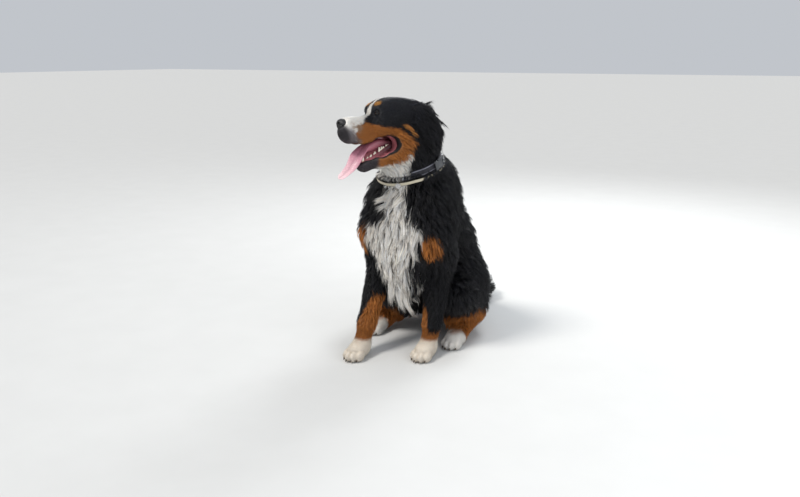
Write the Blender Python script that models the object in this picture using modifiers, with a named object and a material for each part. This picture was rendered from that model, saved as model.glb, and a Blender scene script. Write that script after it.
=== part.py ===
"""A large long-coated dog sitting upright, built life size out to the tips of its coat: masses named below are blended into one surface, which is parted where a person would name its pieces."""

import bmesh
import bpy
import numpy as np
from math import cos, pi, radians, sin
from mathutils import Matrix, Vector

# ---- sizes in metres ------------------------------------------------------
SHIFT = (-0.00803, -0.25404, 0.0)            # moves the origin to the middle of the footprint
GAP = 0.0003                       # air between neighbouring pieces
GROUND = 0.0
HEAD_AT = (-0.008, -0.100, 0.813)  # between the eyes, level with them
HEAD_TURN, HEAD_LIFT, HEAD_ROLL = 34.0, 2.5, 6.0
BODY_VOXEL, HEAD_VOXEL, EAR_VOXEL = 0.013, 0.0062, 0.0055
BODY_FACES, HEAD_FACES, EAR_FACES = 1800, 1500, 110
EYE_RADIUS, EYE_OPENING = 0.0118, 0.0092
EYE_AT = (0.0553, 0.0325, 0.0034)
STRAP_WIDTH, STRAP_THICK, STRAP_SEAT = 0.025, 0.0030, 0.0110
BAND_WIDTH, BAND_THICK, BAND_SEAT = 0.0095, 0.0018, 0.0180
STRAP_MIDDLE, STRAP_SLOPE = (0.025, -0.003, 0.6470), (0.12, 0.33)
BAND_MIDDLE, BAND_SLOPE = (0.022, -0.002, 0.6240), (0.095, 0.30)
LOOP_STEPS = 28
SHARP = 38.0
BUCKLE_RISE = 0.0015                # the buckle sits this far above the middle of the strap
BUCKLE_SIZE, BUCKLE_BEVEL, BUCKLE_ANGLE = (0.044, 0.031, 0.012), 0.003, -9.0
RING_RADIUS, RING_WIRE, RING_ANGLE = 0.0135, 0.0017, 15.0
TAG_RADIUS, TAG_THICK, TAG_ANGLE = 0.0095, 0.0016, -88.0

# ---- colours --------------------------------------------------------------
BLACK, TAN, WHITE = (0.012, 0.012, 0.015), (0.36, 0.13, 0.035), (0.78, 0.74, 0.68)
NOSE, TONGUE, EYE = (0.015, 0.013, 0.014), (0.62, 0.26, 0.28), (0.035, 0.018, 0.010)
NYLON, PLASTIC, STEEL, CREAM = (0.020, 0.020, 0.030), (0.055, 0.058, 0.062), (0.55, 0.55, 0.56), (0.62, 0.58, 0.45)


def unit(v):
    v = np.asarray(v, float)
    return v / np.linalg.norm(v)


def turned(yaw=0.0, pitch=0.0, roll=0.0):
    """Columns forward, left and up of a frame that faces -Y, turned to its right, lifted and tipped left side up."""
    y, p, r = radians(yaw), radians(pitch), radians(roll)
    f = np.array([-sin(y) * cos(p), -cos(y) * cos(p), sin(p)])
    l = np.array([cos(y), -sin(y), 0.0])
    u = np.cross(f, l)
    l = l * cos(r) + u * sin(r)
    return np.stack([f, l, np.cross(f, l)], 1)


def leaned(degrees):
    """Columns across, back-and-up and forward-and-up of a trunk leaned this far above the level."""
    t = np.array([0, -cos(radians(degrees)), sin(radians(degrees))])
    x = np.array([1.0, 0, 0])
    return np.stack([x, np.cross(t, x), t], 1)


HEAD = turned(HEAD_TURN, HEAD_LIFT, HEAD_ROLL)


def head(p):
    return np.asarray(HEAD_AT) + HEAD @ np.asarray(p, float)


# ---- masses ---------------------------------------------------------------
class Ball:
    def __init__(self, middle, radii, axes=None):
        self.c, self.r = np.asarray(middle, float), np.asarray(radii, float)
        self.R = np.eye(3) if axes is None else axes

    def distance(self, P):
        a = ((P - self.c) @ self.R) / self.r
        k0 = np.sqrt((a * a).sum(1))
        k1 = np.sqrt(((a / self.r) ** 2).sum(1))
        return np.where(k1 > 1e-9, k0 * (k0 - 1.0) / np.maximum(k1, 1e-9), -self.r.min())

    def balls(self, more):
        return [(self.c, self.r + more, self.R)]


class Limb:
    """A ball at each end and the straight skin between them."""

    def __init__(self, start, end, start_radius, end_radius):
        self.a, self.b, self.ra, self.rb = np.asarray(start, float), np.asarray(end, float), start_radius, end_radius

    def distance(self, P):
        ba = self.b - self.a
        l2, rr = ba @ ba, self.ra - self.rb
        a2, il2 = l2 - rr * rr, 1.0 / l2
        pa = P - self.a
        y = pa @ ba
        z = y - l2
        v = pa * l2 - y[:, None] * ba
        x2 = (v * v).sum(1)
        y2, z2 = y * y * l2, z * z * l2
        k = np.sign(rr) * rr * rr * x2
        o = (np.sqrt(np.maximum(x2 * a2 * il2, 0)) + y * rr) * il2 - self.ra
        o = np.where(np.sign(y) * a2 * y2 < k, np.sqrt(x2 + y2) * il2 - self.ra, o)
        return np.where(np.sign(z) * a2 * z2 > k, np.sqrt(x2 + z2) * il2 - self.rb, o)

    def balls(self, more):
        return [(self.a, np.full(3, self.ra + more), np.eye(3)), (self.b, np.full(3, self.rb + more), np.eye(3))]


class Block:
    """A box with rounded edges."""

    def __init__(self, middle, half, radius, axes):
        self.c, self.h, self.r, self.R = np.asarray(middle, float), np.asarray(half, float), radius, axes

    def distance(self, P):
        q = np.abs((P - self.c) @ self.R) - self.h
        return np.sqrt((np.maximum(q, 0) ** 2).sum(1)) + np.minimum(q.max(1), 0) - self.r

    def balls(self, more):
        signs = [(i, j, k) for i in (-1, 1) for j in (-1, 1) for k in (-1, 1)]
        return [(self.c + self.R @ (self.h * s), np.full(3, self.r + more), np.eye(3)) for s in signs]


class Figure:
    """Masses blended in turn; each carries the depth of the coat over it."""

    def __init__(self):
        self.masses, self.hollows, self.cores = [], [], []

    def add(self, shape, blend, coat):
        self.masses.append((shape, blend, coat))

    def hollow(self, shape, blend):
        self.hollows.append((shape, blend))

    def inner(self, shape, blend):
        self.cores.append((shape, blend))

    def field(self, P, depth=1.0):
        """Distance to the coat's outline, or to the skin where depth is 0."""
        d = np.full(len(P), 0.12)
        weight, coat = np.zeros(len(P)), np.zeros(len(P))
        for shape, blend, c in self.masses:
            e = shape.distance(P)
            h = np.maximum(blend - np.abs(d - e), 0) / blend
            d = np.minimum(d, e) - h * h * blend * 0.25
            w = np.exp(-np.clip(e, -0.04, 0.2) / 0.018)
            weight += w
            coat += w * c
        d = d - depth * coat / np.maximum(weight, 1e-9)
        for shape, blend in self.hollows:
            e = -shape.distance(P)
            h = np.maximum(blend - np.abs(d - e), 0) / blend
            d = np.maximum(d, e) + h * h * blend * 0.25
        for shape, blend in self.cores:
            e = shape.distance(P)
            h = np.maximum(blend - np.abs(d - e), 0) / blend
            d = np.minimum(d, e) - h * h * blend * 0.25
        return d


def slope(function, P, step=5e-4):
    g = np.stack([function(P + step * a) - function(P - step * a) for a in np.eye(3)], 1) / (2 * step)
    return g


def trunk_and_limbs(f):
    f.add(Ball((0.010, 0.105, 0.430), (0.127, 0.150, 0.220), leaned(54)), 0.04, 0.026)   # ribs
    f.add(Ball((0.014, -0.045, 0.435), (0.074, 0.080, 0.130)), 0.05, 0.030)              # breast
    f.add(Ball((0.010, -0.020, 0.345), (0.060, 0.080, 0.075)), 0.05, 0.034)              # brisket
    f.add(Limb((0.012, -0.020, 0.300), (0.022, -0.032, 0.226), 0.048, 0.020), 0.05, 0.034)   # fringe under the brisket
    f.add(Ball((0.010, 0.220, 0.300), (0.135, 0.138, 0.160)), 0.06, 0.028)               # loin
    f.add(Ball((0.000, 0.350, 0.155), (0.136, 0.115, 0.138)), 0.05, 0.028)               # rump
    f.add(Ball((0.024, 0.098, 0.560), (0.096, 0.088, 0.110)), 0.06, 0.028)               # withers
    neck(f)
    for s in (1, -1):
        f.add(Ball((s * 0.085 + 0.010, 0.002, 0.460), (0.056, 0.082, 0.125)), 0.05, 0.024)                        # shoulder
        f.add(Limb((s * 0.097 + 0.007, -0.030, 0.405), (s * 0.100 + 0.009, 0.028, 0.318), 0.053, 0.043), 0.05, 0.020)  # upper arm
    # the right foot is set a little ahead of the left
    for elbow, wrist, root in (((0.115, 0.030, 0.315), (0.114, -0.022, 0.106), (0.115, -0.050, 0.048)),
                               ((-0.092, 0.004, 0.315), (-0.088, -0.118, 0.106), (-0.088, -0.150, 0.048))):
        f.add(Limb(elbow, wrist, 0.040, 0.025), 0.04, 0.011)
        f.add(Limb(wrist, root, 0.025, 0.026), 0.02, 0.005)
        foot(f, root[0], root[1] - 0.026, 0.033, 0.049, 0.028)
    for s in (1, -1):
        f.add(Ball((s * 0.104, 0.225, 0.160), (0.076, 0.145, 0.115)), 0.05, 0.026)                     # thigh
        f.add(Limb((s * 0.112, 0.220, 0.190), (s * 0.150 + 0.008, 0.100, 0.180), 0.076, 0.048), 0.05, 0.022)
        f.add(Limb((s * 0.152 + 0.006, 0.100, 0.172), (s * 0.152, 0.262, 0.080), 0.044, 0.030), 0.04, 0.016)   # shank
        f.add(Limb((s * 0.148, 0.260, 0.072), (s * 0.152, 0.115, 0.034), 0.030, 0.026), 0.03, 0.010)   # hock to foot
        foot(f, s * 0.158, 0.078, 0.035, 0.051, 0.027)
    path = [(0, 0.43, 0.085), (0.02, 0.50, 0.060), (0.040, 0.57, 0.050), (0.038, 0.64, 0.046), (0.012, 0.70, 0.043), (-0.035, 0.74, 0.041)]
    sizes = [0.034, 0.028, 0.024, 0.020, 0.016, 0.011]
    for a, b, ra, rb in zip(path, path[1:], sizes, sizes[1:]):
        f.add(Limb(a, b, ra, rb), 0.02, 0.032)


def neck(f):
    f.add(Limb((0.014, 0.025, 0.555), (0.036, -0.035, 0.735), 0.100, 0.072), 0.05, 0.022)


TOES = (-0.0245, -0.0085, 0.0085, 0.0245)


def toe_lead(dx):
    return 0.028 if abs(dx) < 0.02 else 0.015


def foot(f, x, y, half_width, half_length, half_height):
    f.add(Ball((x, y, half_height - 0.001), (half_width, half_length, half_height)), 0.02, 0.004)
    for dx in TOES:
        f.add(Ball((x + dx, y + 0.004 - 0.022 - toe_lead(dx), 0.0170), (0.0108, 0.0225, 0.0168)), 0.006, 0.003)


FEET = [(0.115, -0.076), (-0.088, -0.176), (0.158, 0.078), (-0.158, 0.078)]


def skull_and_jaws(f, behind=1.0):
    """The head's masses, or only those behind a line across it."""

    def ball(c, r, blend=0.02, coat=0.005):
        if c[0] < behind:
            f.add(Ball(head(c), r, HEAD), blend, coat)

    def limb(a, b, ra, rb, blend=0.02, coat=0.005):
        if b[0] < behind:
            f.add(Limb(head(a), head(b), ra, rb), blend, coat)

    ball((-0.022, 0, 0.001), (0.078, 0.064, 0.051))                         # cranium
    ball((0.022, 0, 0.004), (0.042, 0.048, 0.042), 0.03)                    # forehead
    ball((-0.080, 0, -0.008), (0.042, 0.052, 0.046), 0.03, 0.012)           # back of the skull
    for s in (1, -1):
        ball((0.047, s * 0.029, 0.015), (0.024, 0.021, 0.018))              # brow
        ball((-0.020, s * 0.045, -0.005), (0.062, 0.030, 0.048), 0.03)      # temple
        ball((0.024, s * 0.046, -0.036), (0.052, 0.024, 0.031), 0.03, 0.005)    # cheekbone
        ball((-0.026, s * 0.045, -0.076), (0.046, 0.034, 0.050), 0.03, 0.012)   # jaw muscle
        ball((0.106, s * 0.024, -0.057), (0.052, 0.018, 0.030), 0.02, 0.003)    # upper lip
        limb((0.112, s * 0.0270, -0.0795), (0.078, s * 0.0320, -0.0765), 0.0105, 0.0100, 0.012, 0.003)   # its hanging edge
    limb((0.058, 0, -0.041), (0.142, 0, -0.045), 0.036, 0.027, 0.03, 0.003)     # muzzle
    if behind > 0.1:
        f.add(Block(head((0.106, 0, -0.034)), (0.042, 0.018, 0.012), 0.012, HEAD), 0.015, 0.003)
    ball((0.145, 0, -0.057), (0.028, 0.027, 0.030), 0.02, 0.002)            # front of the upper lip
    ball((-0.022, 0, -0.126), (0.054, 0.050, 0.058), 0.04, 0.020)           # throat
    for s in (1, -1):
        limb((-0.020, s * 0.042, -0.088), (0.050, s * 0.028, -0.146), 0.030, 0.017, 0.03, 0.007)   # jaw
        limb((0.050, s * 0.028, -0.146), (0.094, s * 0.012, -0.158), 0.016, 0.014, 0.02, 0.003)
    ball((0.094, 0, -0.158), (0.020, 0.021, 0.016), 0.02, 0.002)            # chin


MOUTH_DROP = 15.8   # slope of the open mouth, down to the front
JAW = HEAD @ np.array([[cos(radians(MOUTH_DROP)), 0, sin(radians(MOUTH_DROP))], [0, 1, 0], [-sin(radians(MOUTH_DROP)), 0, cos(radians(MOUTH_DROP))]])
ROW = [(0.100, 0.013, -0.150), (0.060, 0.022, -0.134), (0.016, 0.030, -0.110)]   # the lower gum, front to back


def mouth(f):
    for forward, up, radius in ((0.031, -0.094, 0.026), (0.056, -0.103, 0.029), (0.086, -0.1145, 0.0245), (0.118, -0.1225, 0.0270)):
        f.hollow(Limb(head((forward, -0.10, up)), head((forward, 0.10, up)), radius, radius * 0.999), 0.006)
    f.hollow(Limb(head((-0.014, 0, -0.086)), head((0.118, 0, -0.074)), 0.024, 0.016), 0.006)      # roof
    f.hollow(Limb(head((0.000, 0, -0.118)), head((0.078, 0, -0.146)), 0.019, 0.012), 0.006)       # floor
    for s in (1, -1):
        for a, b in zip(ROW, ROW[1:]):
            f.inner(Limb(head((a[0], s * a[1], a[2])), head((b[0], s * b[1], b[2])), 0.0075, 0.0080), 0.006)


# ---- mesh tools -----------------------------------------------------------
for old in list(bpy.data.objects):
    bpy.data.objects.remove(old)
DOG = bpy.data.collections.new("sitting_dog")
TOOLS = bpy.data.collections.new("cutters")
for c in (DOG, TOOLS):
    bpy.context.scene.collection.children.link(c)


def keep(name, mesh, where=None):
    o = bpy.data.objects.new(name, mesh)
    (where or DOG).objects.link(o)
    return o


def from_bmesh(name, bm, where=None):
    m = bpy.data.meshes.new(name)
    bm.to_mesh(m)
    bm.free()
    return keep(name, m, where)


def points_of(o):
    P = np.empty(len(o.data.vertices) * 3)
    o.data.vertices.foreach_get("co", P)
    return P.reshape(-1, 3)


def set_points(o, P):
    o.data.vertices.foreach_set("co", np.ascontiguousarray(P).ravel())
    o.data.update()


def bake(o):
    """The mesh that the modifiers leave, taken as the object's own."""
    bpy.context.view_layer.update()
    m = bpy.data.meshes.new_from_object(o.evaluated_get(bpy.context.evaluated_depsgraph_get()))
    o.modifiers.clear()
    o.data = m
    return o


def lumps(name, masses, more):
    """One closed shell for each mass, swelled by the coat."""
    bm = bmesh.new()
    for shape, _, coat in masses:
        part = bmesh.new()
        for c, r, R in shape.balls(coat + more):
            m = Matrix.LocRotScale(Vector(c), Matrix(R.tolist()).to_quaternion(), Vector(r)) if np.linalg.det(R) > 0 else Matrix.Translation(Vector(c)) @ Matrix(R.tolist()).to_4x4() @ Matrix.Diagonal(Vector((*r, 1.0)))
            bmesh.ops.create_uvsphere(part, u_segments=20, v_segments=12, radius=1.0, matrix=m)
        if len(shape.balls(0)) > 1:
            out = bmesh.ops.convex_hull(part, input=part.verts)
            inside = [v for v in out["geom_interior"] if isinstance(v, bmesh.types.BMVert)]
            bmesh.ops.delete(part, geom=inside, context="VERTS")
        m = bpy.data.meshes.new("lump")
        part.to_mesh(m)
        part.free()
        bm.from_mesh(m)
        bpy.data.meshes.remove(m)
    return from_bmesh(name, bm)


def modelled(name, figure, voxel, faces, more=0.004):
    """The blended surface: shells joined, remeshed, drawn onto the field and thinned."""
    o = lumps(name, figure.masses, more)
    r = o.modifiers.new("join", "REMESH")
    r.mode, r.voxel_size, r.adaptivity = "VOXEL", voxel, 0.0
    bake(o)
    P = points_of(o)
    for turn in range(8):
        d = figure.field(P)
        g = slope(figure.field, P)
        P = P - np.clip(d, -0.6 * voxel, 0.6 * voxel)[:, None] * g / np.maximum((g * g).sum(1), 0.25)[:, None]
    set_points(o, P)
    t = o.modifiers.new("thin", "DECIMATE")
    t.ratio = min(1.0, faces / (2.0 * len(o.data.polygons)))
    t.use_collapse_triangulate = True
    bake(o)
    return o


def boolean(o, other, operation="DIFFERENCE", solver="EXACT"):
    b = o.modifiers.new("cut", "BOOLEAN")
    b.operation, b.solver, b.object = operation, solver, other
    bake(o)
    if other.name in TOOLS.objects or other.name in DOG.objects:
        bpy.data.objects.remove(other)
    return o


def copy_of(o, name):
    return keep(name, o.data.copy())


def box(name, middle, half, axes=None, grow=0.0):
    bm = bmesh.new()
    R = np.eye(3) if axes is None else np.asarray(axes, float)
    if np.linalg.det(R) < 0:
        R = R * np.array([1, 1, -1])
    m = Matrix.Translation(Vector(middle)) @ Matrix(R.tolist()).to_4x4() @ Matrix.Diagonal(Vector([2 * (h + grow) for h in half] + [1.0]))
    bmesh.ops.create_cube(bm, size=1.0, matrix=m)
    return from_bmesh(name, bm, TOOLS)


def largest(o):
    """Drops every loose crumb but the largest body."""
    bm = bmesh.new()
    bm.from_mesh(o.data)
    seen, groups = set(), []
    for v in bm.verts:
        if v.index in seen:
            continue
        stack, group = [v], []
        seen.add(v.index)
        while stack:
            q = stack.pop()
            group.append(q)
            for e in q.link_edges:
                w = e.other_vert(q)
                if w.index not in seen:
                    seen.add(w.index)
                    stack.append(w)
        groups.append(group)
    groups.sort(key=len)
    for g in groups[:-1]:
        bmesh.ops.delete(bm, geom=g, context="VERTS")
    bmesh.ops.triangulate(bm, faces=[f for f in bm.faces if len(f.verts) > 3])
    bm.to_mesh(o.data)
    bm.free()
    return o


def level(o):
    """Cuts the underside flat at the ground."""
    return boolean(o, box("ground", (0, 0.25, GROUND - 0.1), (0.8, 1.2, 0.1)))


def take(rest, name, middle, half, axes=None):
    """Parts off what lies in a box, and leaves the gap between the two."""
    piece = copy_of(rest, name)
    boolean(piece, box("in", middle, half, axes), "INTERSECT")
    boolean(rest, box("out", middle, half, axes, GAP))
    return largest(piece)


def swollen(o, by):
    """A copy moved out along its own normals, for clearing its seat in a neighbour."""
    c = copy_of(o, o.name + "_seat")
    bm = bmesh.new()
    bm.from_mesh(c.data)
    bm.normal_update()
    for v in bm.verts:
        v.co += v.normal * by * max(v.calc_shell_factor(), 1.0)
    bm.to_mesh(c.data)
    bm.free()
    return c


def paint(o, colour, roughness=0.85, metallic=0.0):
    m = bpy.data.materials.new(o.name)
    m.use_nodes = True
    b = m.node_tree.nodes["Principled BSDF"]
    b.inputs["Base Color"].default_value = (*colour, 1.0)
    b.inputs["Roughness"].default_value = roughness
    b.inputs["Metallic"].default_value = metallic
    o.data.materials.clear()
    o.data.materials.append(m)


# ---- body -----------------------------------------------------------------
whole = Figure()
trunk_and_limbs(whole)
skull_and_jaws(whole, behind=0.0)
NECK_AXIS = unit((0.022, -0.060, 0.180))
# the cut behind the ears and the angle of the jaw
HEAD_CUT_AT = head((-0.066, 0, -0.076))
HEAD_CUT_FACING = unit(HEAD @ np.array([0.72, 0, 0.69]))


def facing(n):
    """Axes whose third column is n."""
    n = unit(n)
    x = unit(np.cross((0, 1, 0), n))
    return np.stack([x, np.cross(n, x), n], 1)


CUT = facing(HEAD_CUT_FACING)
body = level(modelled("rump", whole, BODY_VOXEL, BODY_FACES))
boolean(body, box("above", HEAD_CUT_AT + CUT[:, 2] * (0.4 - GAP / 2), (0.5, 0.5, 0.4), CUT))
largest(body)

neck_ = take(body, "neck", (0.02, 0.0, 0.60) + NECK_AXIS * 0.40, (0.30, 0.30, 0.40), facing(NECK_AXIS))
for side, s in (("l", 1), ("r", -1)):
    x, y = FEET[0 if s > 0 else 1]
    FOREPAW = take(body, "forepaw_" + side, (s * 0.130, y - 0.06, 0.010), (0.085, 0.150, 0.062))
    take(body, "forearm_" + side, (s * 0.130, (0.045 + y - 0.10) / 2, 0.185), (0.088, (0.145 - y) / 2, 0.113))
    take(body, "upper_arm_" + side, (s * 0.160, -0.01, 0.365), (0.085, 0.105, 0.067 - GAP))
    take(body, "hindfoot_" + side, (s * 0.175, 0.125, 0.010), (0.100, 0.175, 0.058))
    take(body, "shank_" + side, (s * 0.160, 0.165, 0.115), (0.080, 0.150, 0.046), np.stack([(1, 0, 0), unit((0, 0.175, -0.095)), unit((0, 0.095, 0.175))], 1))
    take(body, "thigh_" + side, (s * 0.180, 0.185, 0.160), (0.110, 0.175, 0.155))
take(body, "tail_tip", (0, 0.80, 0.10), (0.30, 0.20, 0.15))
take(body, "tail_root", (0.01, 0.644, 0.02), (0.085, 0.20, 0.11))
LEAN = leaned(44)
take(body, "chest", (0, 0.130, 0.400) + LEAN[:, 2] * 0.40, (0.4, 0.5, 0.40), LEAN)
take(body, "abdomen", (0, 0.250, 0.270) + LEAN[:, 2] * 0.30, (0.4, 0.5, 0.30), LEAN)
largest(body)

# claws stand in the toes
for i, (x, y) in enumerate(FEET):
    paw = bpy.data.objects[("forepaw_l", "forepaw_r", "hindfoot_l", "hindfoot_r")[i]]
    for dx in TOES:
        bm = bmesh.new()
        tip = Vector((x + dx, y + 0.004 - 0.022 - toe_lead(dx) - 0.0285, 0.0040))
        root = Vector((x + dx, y + 0.004 - 0.022 - toe_lead(dx) - 0.0130, 0.0130))
        turn = (tip - root).to_track_quat("Z", "Y").to_matrix().to_4x4()
        bmesh.ops.create_cone(bm, cap_ends=True, segments=6, radius1=0.0040, radius2=0.0014, depth=(tip - root).length, matrix=Matrix.Translation((tip + root) / 2) @ turn)
        boolean(paw, from_bmesh("claw", bm, TOOLS), "UNION", "MANIFOLD")
    largest(paw)

# ---- head -----------------------------------------------------------------
upper = Figure()
neck(upper)
upper.masses[0] = (upper.masses[0][0], 0.12, upper.masses[0][2])
skull_and_jaws(upper)
mouth(upper)
HEADPIECE = modelled("head", upper, HEAD_VOXEL, HEAD_FACES, 0.002)
boolean(HEADPIECE, box("below", HEAD_CUT_AT - CUT[:, 2] * (0.4 - GAP / 2), (0.5, 0.5, 0.4), CUT))
largest(HEADPIECE)

# ears lie back against the head
for side, s in (("l", 1), ("r", -1)):
    L = unit((-0.40, s * 0.14, -0.92))
    q = np.array([0.05, s * 1.0, 0.12])
    N = unit(q - (q @ L) * L)
    f = Figure()
    f.add(Ball(head((-0.096, s * 0.078, -0.030)), (0.062, 0.038, 0.008), HEAD @ np.stack([L, np.cross(N, L), N], 1)), 0.012, 0.007)
    f.add(Limb(head((-0.060, s * 0.062, 0.018)), head((-0.102, s * 0.064, 0.016)), 0.011, 0.012), 0.02, 0.006)
    ear = modelled("ear_" + side, f, EAR_VOXEL, EAR_FACES, 0.001)
    boolean(ear, swollen(HEADPIECE, GAP))
    boolean(ear, swollen(neck_, GAP))
    largest(ear)

# eyes, each in a socket open to the front
for side, s in (("l", 1), ("r", -1)):
    at = head((EYE_AT[0], s * EYE_AT[1], EYE_AT[2]))
    look = unit(HEAD @ np.array([0.74, s * 0.67, 0.05]))
    bm = bmesh.new()
    bmesh.ops.create_uvsphere(bm, u_segments=12, v_segments=8, radius=EYE_RADIUS, matrix=Matrix.Translation(Vector(at)))
    from_bmesh("eye_" + side, bm)
    bm = bmesh.new()
    bmesh.ops.create_uvsphere(bm, u_segments=12, v_segments=8, radius=EYE_RADIUS + 2 * GAP, matrix=Matrix.Translation(Vector(at)))
    boolean(HEADPIECE, from_bmesh("socket", bm, TOOLS))
    bm = bmesh.new()
    turn = Vector(look).to_track_quat("Z", "Y").to_matrix().to_4x4()
    bmesh.ops.create_cone(bm, cap_ends=True, segments=12, radius1=EYE_OPENING, radius2=EYE_OPENING * 1.25, depth=0.030, matrix=Matrix.Translation(Vector(at + look * 0.0215)) @ turn)
    boolean(HEADPIECE, from_bmesh("opening", bm, TOOLS))

# nose pad
f = Figure()
f.add(Ball(head((0.1670, 0, -0.0285)), (0.0170, 0.0205, 0.0150), HEAD), 0.02, 0.0)
f.add(Ball(head((0.1650, 0, -0.0390)), (0.0155, 0.0115, 0.0140), HEAD), 0.01, 0.0)
nose = modelled("nose_pad", f, 0.004, 170, 0.0)
boolean(HEADPIECE, swollen(nose, GAP))

# lower jaw: what lies under and ahead of the corner of the mouth
JAW_LENGTH = 0.17
corner = head((-0.016, 0, -0.088))
jaw = take(HEADPIECE, "lower_jaw", corner + JAW[:, 0] * JAW_LENGTH / 2 - JAW[:, 2] * 0.070, (JAW_LENGTH / 2, 0.12, 0.070), JAW)
largest(HEADPIECE)

# tongue, from the floor of the mouth over the front teeth
LINE = [(-0.010, 0.0, -0.094), (0.014, 0.000, -0.0925), (0.038, 0.000, -0.0905), (0.062, 0.001, -0.0960), (0.084, 0.002, -0.1040), (0.1015, 0.003, -0.114), (0.115, 0.004, -0.1275), (0.1275, 0.005, -0.146), (0.144, 0.006, -0.168), (0.165, 0.006, -0.1865), (0.184, 0.006, -0.198)]
HALF_WIDTH = [0.0130, 0.0180, 0.0200, 0.0200, 0.0195, 0.0215, 0.0232, 0.0215, 0.0172, 0.0130, 0.0050]
HALF_DEPTH = [0.0085, 0.0125, 0.0160, 0.0160, 0.0135, 0.0065, 0.0046, 0.0038, 0.0034, 0.0028, 0.0014]
HANG = [0.0, 0.0, 4.0, 8.0, 14.0, 26.0, 36.0, 42.0, 45.0, 46.0, 46.0]   # how far its left edge has dropped


def tongue():
    bm = bmesh.new()
    rings, n = [], 10
    P = [np.array(p) for p in LINE]
    for i, p in enumerate(P):
        t = unit(P[min(i + 1, len(P) - 1)] - P[max(i - 1, 0)])
        up = unit(np.cross(t, (0, 1, 0)))
        up = up if up[2] > 0 else -up
        side = np.cross(up, t)
        side = side if side[1] > 0 else -side
        h = radians(HANG[i])
        side, up = side * cos(h) - up * sin(h), up * cos(h) + side * sin(h)
        rings.append([bm.verts.new(head(p + side * HALF_WIDTH[i] * cos(2 * pi * k / n) + up * (HALF_DEPTH[i] * sin(2 * pi * k / n) + 0.16 * HALF_WIDTH[i] * (cos(2 * pi * k / n) ** 2)))) for k in range(n)])
    for a, b in zip(rings, rings[1:]):
        for k in range(n):
            bm.faces.new((a[k], a[(k + 1) % n], b[(k + 1) % n], b[k]))
    bm.faces.new(rings[0][::-1])
    bm.faces.new(rings[-1])
    bmesh.ops.recalc_face_normals(bm, faces=bm.faces)
    bmesh.ops.triangulate(bm, faces=bm.faces)
    return from_bmesh("tongue", bm)


boolean(jaw, swollen(tongue(), 2 * GAP))
boolean(HEADPIECE, swollen(bpy.data.objects["tongue"], 2 * GAP))

# lower teeth along the open side of the jaw
TEETH = [(0.1020, 0.0150, -0.150, 0.0150, 0.0034), (0.0860, 0.0180, -0.144, 0.0080, 0.0034), (0.0740, 0.0200, -0.139, 0.0085, 0.0038), (0.0610, 0.0225, -0.134, 0.0100, 0.0042), (0.0470, 0.0250, -0.127, 0.0150, 0.0050), (0.0310, 0.0280, -0.118, 0.0150, 0.0052)]
for s in (1, -1):
    for forward, aside, base, height, radius in TEETH:
        root, tip = Vector(head((forward, s * aside, base - 0.006))), Vector(head((forward + 0.002, s * aside, base + 0.006 + height)))
        bm = bmesh.new()
        turn = (tip - root).to_track_quat("Z", "Y").to_matrix().to_4x4()
        bmesh.ops.create_cone(bm, cap_ends=True, segments=6, radius1=radius, radius2=radius * 0.35, depth=(tip - root).length, matrix=Matrix.Translation((tip + root) / 2) @ turn)
        tooth = from_bmesh("tooth", bm, TOOLS)
        boolean(tooth, swollen(bpy.data.objects["tongue"], 2 * GAP))
        boolean(tooth, swollen(HEADPIECE, GAP))
        boolean(jaw, tooth, "UNION", "MANIFOLD")
largest(jaw)
largest(HEADPIECE)

# ---- collars --------------------------------------------------------------
worn = Figure()
trunk_and_limbs(worn)
skull_and_jaws(worn)


class Loop:
    """A ring round the neck in a sloping plane, lying this far off the skin."""

    def __init__(self, middle, slopes, seat, most):
        self.c = np.asarray(middle, float)
        self.n = unit((-slopes[0], -slopes[1], 1.0))
        self.x = unit(np.cross((0, 1, 0), self.n))
        self.y = np.cross(self.n, self.x)
        a = np.arange(LOOP_STEPS) * 2 * pi / LOOP_STEPS
        D = self.x * np.cos(a)[:, None] + self.y * np.sin(a)[:, None]
        r = np.full(LOOP_STEPS, 0.05)
        for turn in range(60):
            e = worn.field(self.c + D * r[:, None], 0.0) - seat
            r = np.clip(r - np.clip(e, -0.01, 0.01) * 0.7, 0.03, most)
        waves = np.fft.rfft(r)
        waves[5:] = 0
        self.r = np.fft.irfft(waves, LOOP_STEPS)

    def radius(self, degrees):
        return float(np.interp((degrees / 360.0 * LOOP_STEPS) % LOOP_STEPS, np.arange(LOOP_STEPS + 1), np.append(self.r, self.r[0])))

    def at(self, degrees, out=0.0, along=0.0):
        a = radians(degrees)
        return self.c + (self.x * cos(a) + self.y * sin(a)) * (self.radius(degrees) + out) + self.n * along

    def frame(self, degrees):
        """Columns along the loop, across it and outward."""
        t = unit(self.at(degrees + 3) - self.at(degrees - 3))
        return np.stack([t, self.n, unit(np.cross(t, self.n))], 1)

    def over(self, degrees, out, along=0.0):
        """A point straight out from the loop's own face."""
        return self.at(degrees, 0.0, along) + self.frame(degrees)[:, 2] * out

    def ribbon(self, name, width, thick, out=0.0, where=None):
        bm = bmesh.new()
        rings = []
        for i in range(LOOP_STEPS):
            d = 360.0 * i / LOOP_STEPS
            rings.append([bm.verts.new(self.at(d, out + o, h)) for o, h in ((0, -width / 2), (thick, -width / 2), (thick, width / 2), (0, width / 2))])
        for a, b in zip(rings, rings[1:] + rings[:1]):
            for k in range(4):
                bm.faces.new((a[k], a[(k + 1) % 4], b[(k + 1) % 4], b[k]))
        bmesh.ops.recalc_face_normals(bm, faces=bm.faces)
        bmesh.ops.triangulate(bm, faces=bm.faces)
        return from_bmesh(name, bm, where)


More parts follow.
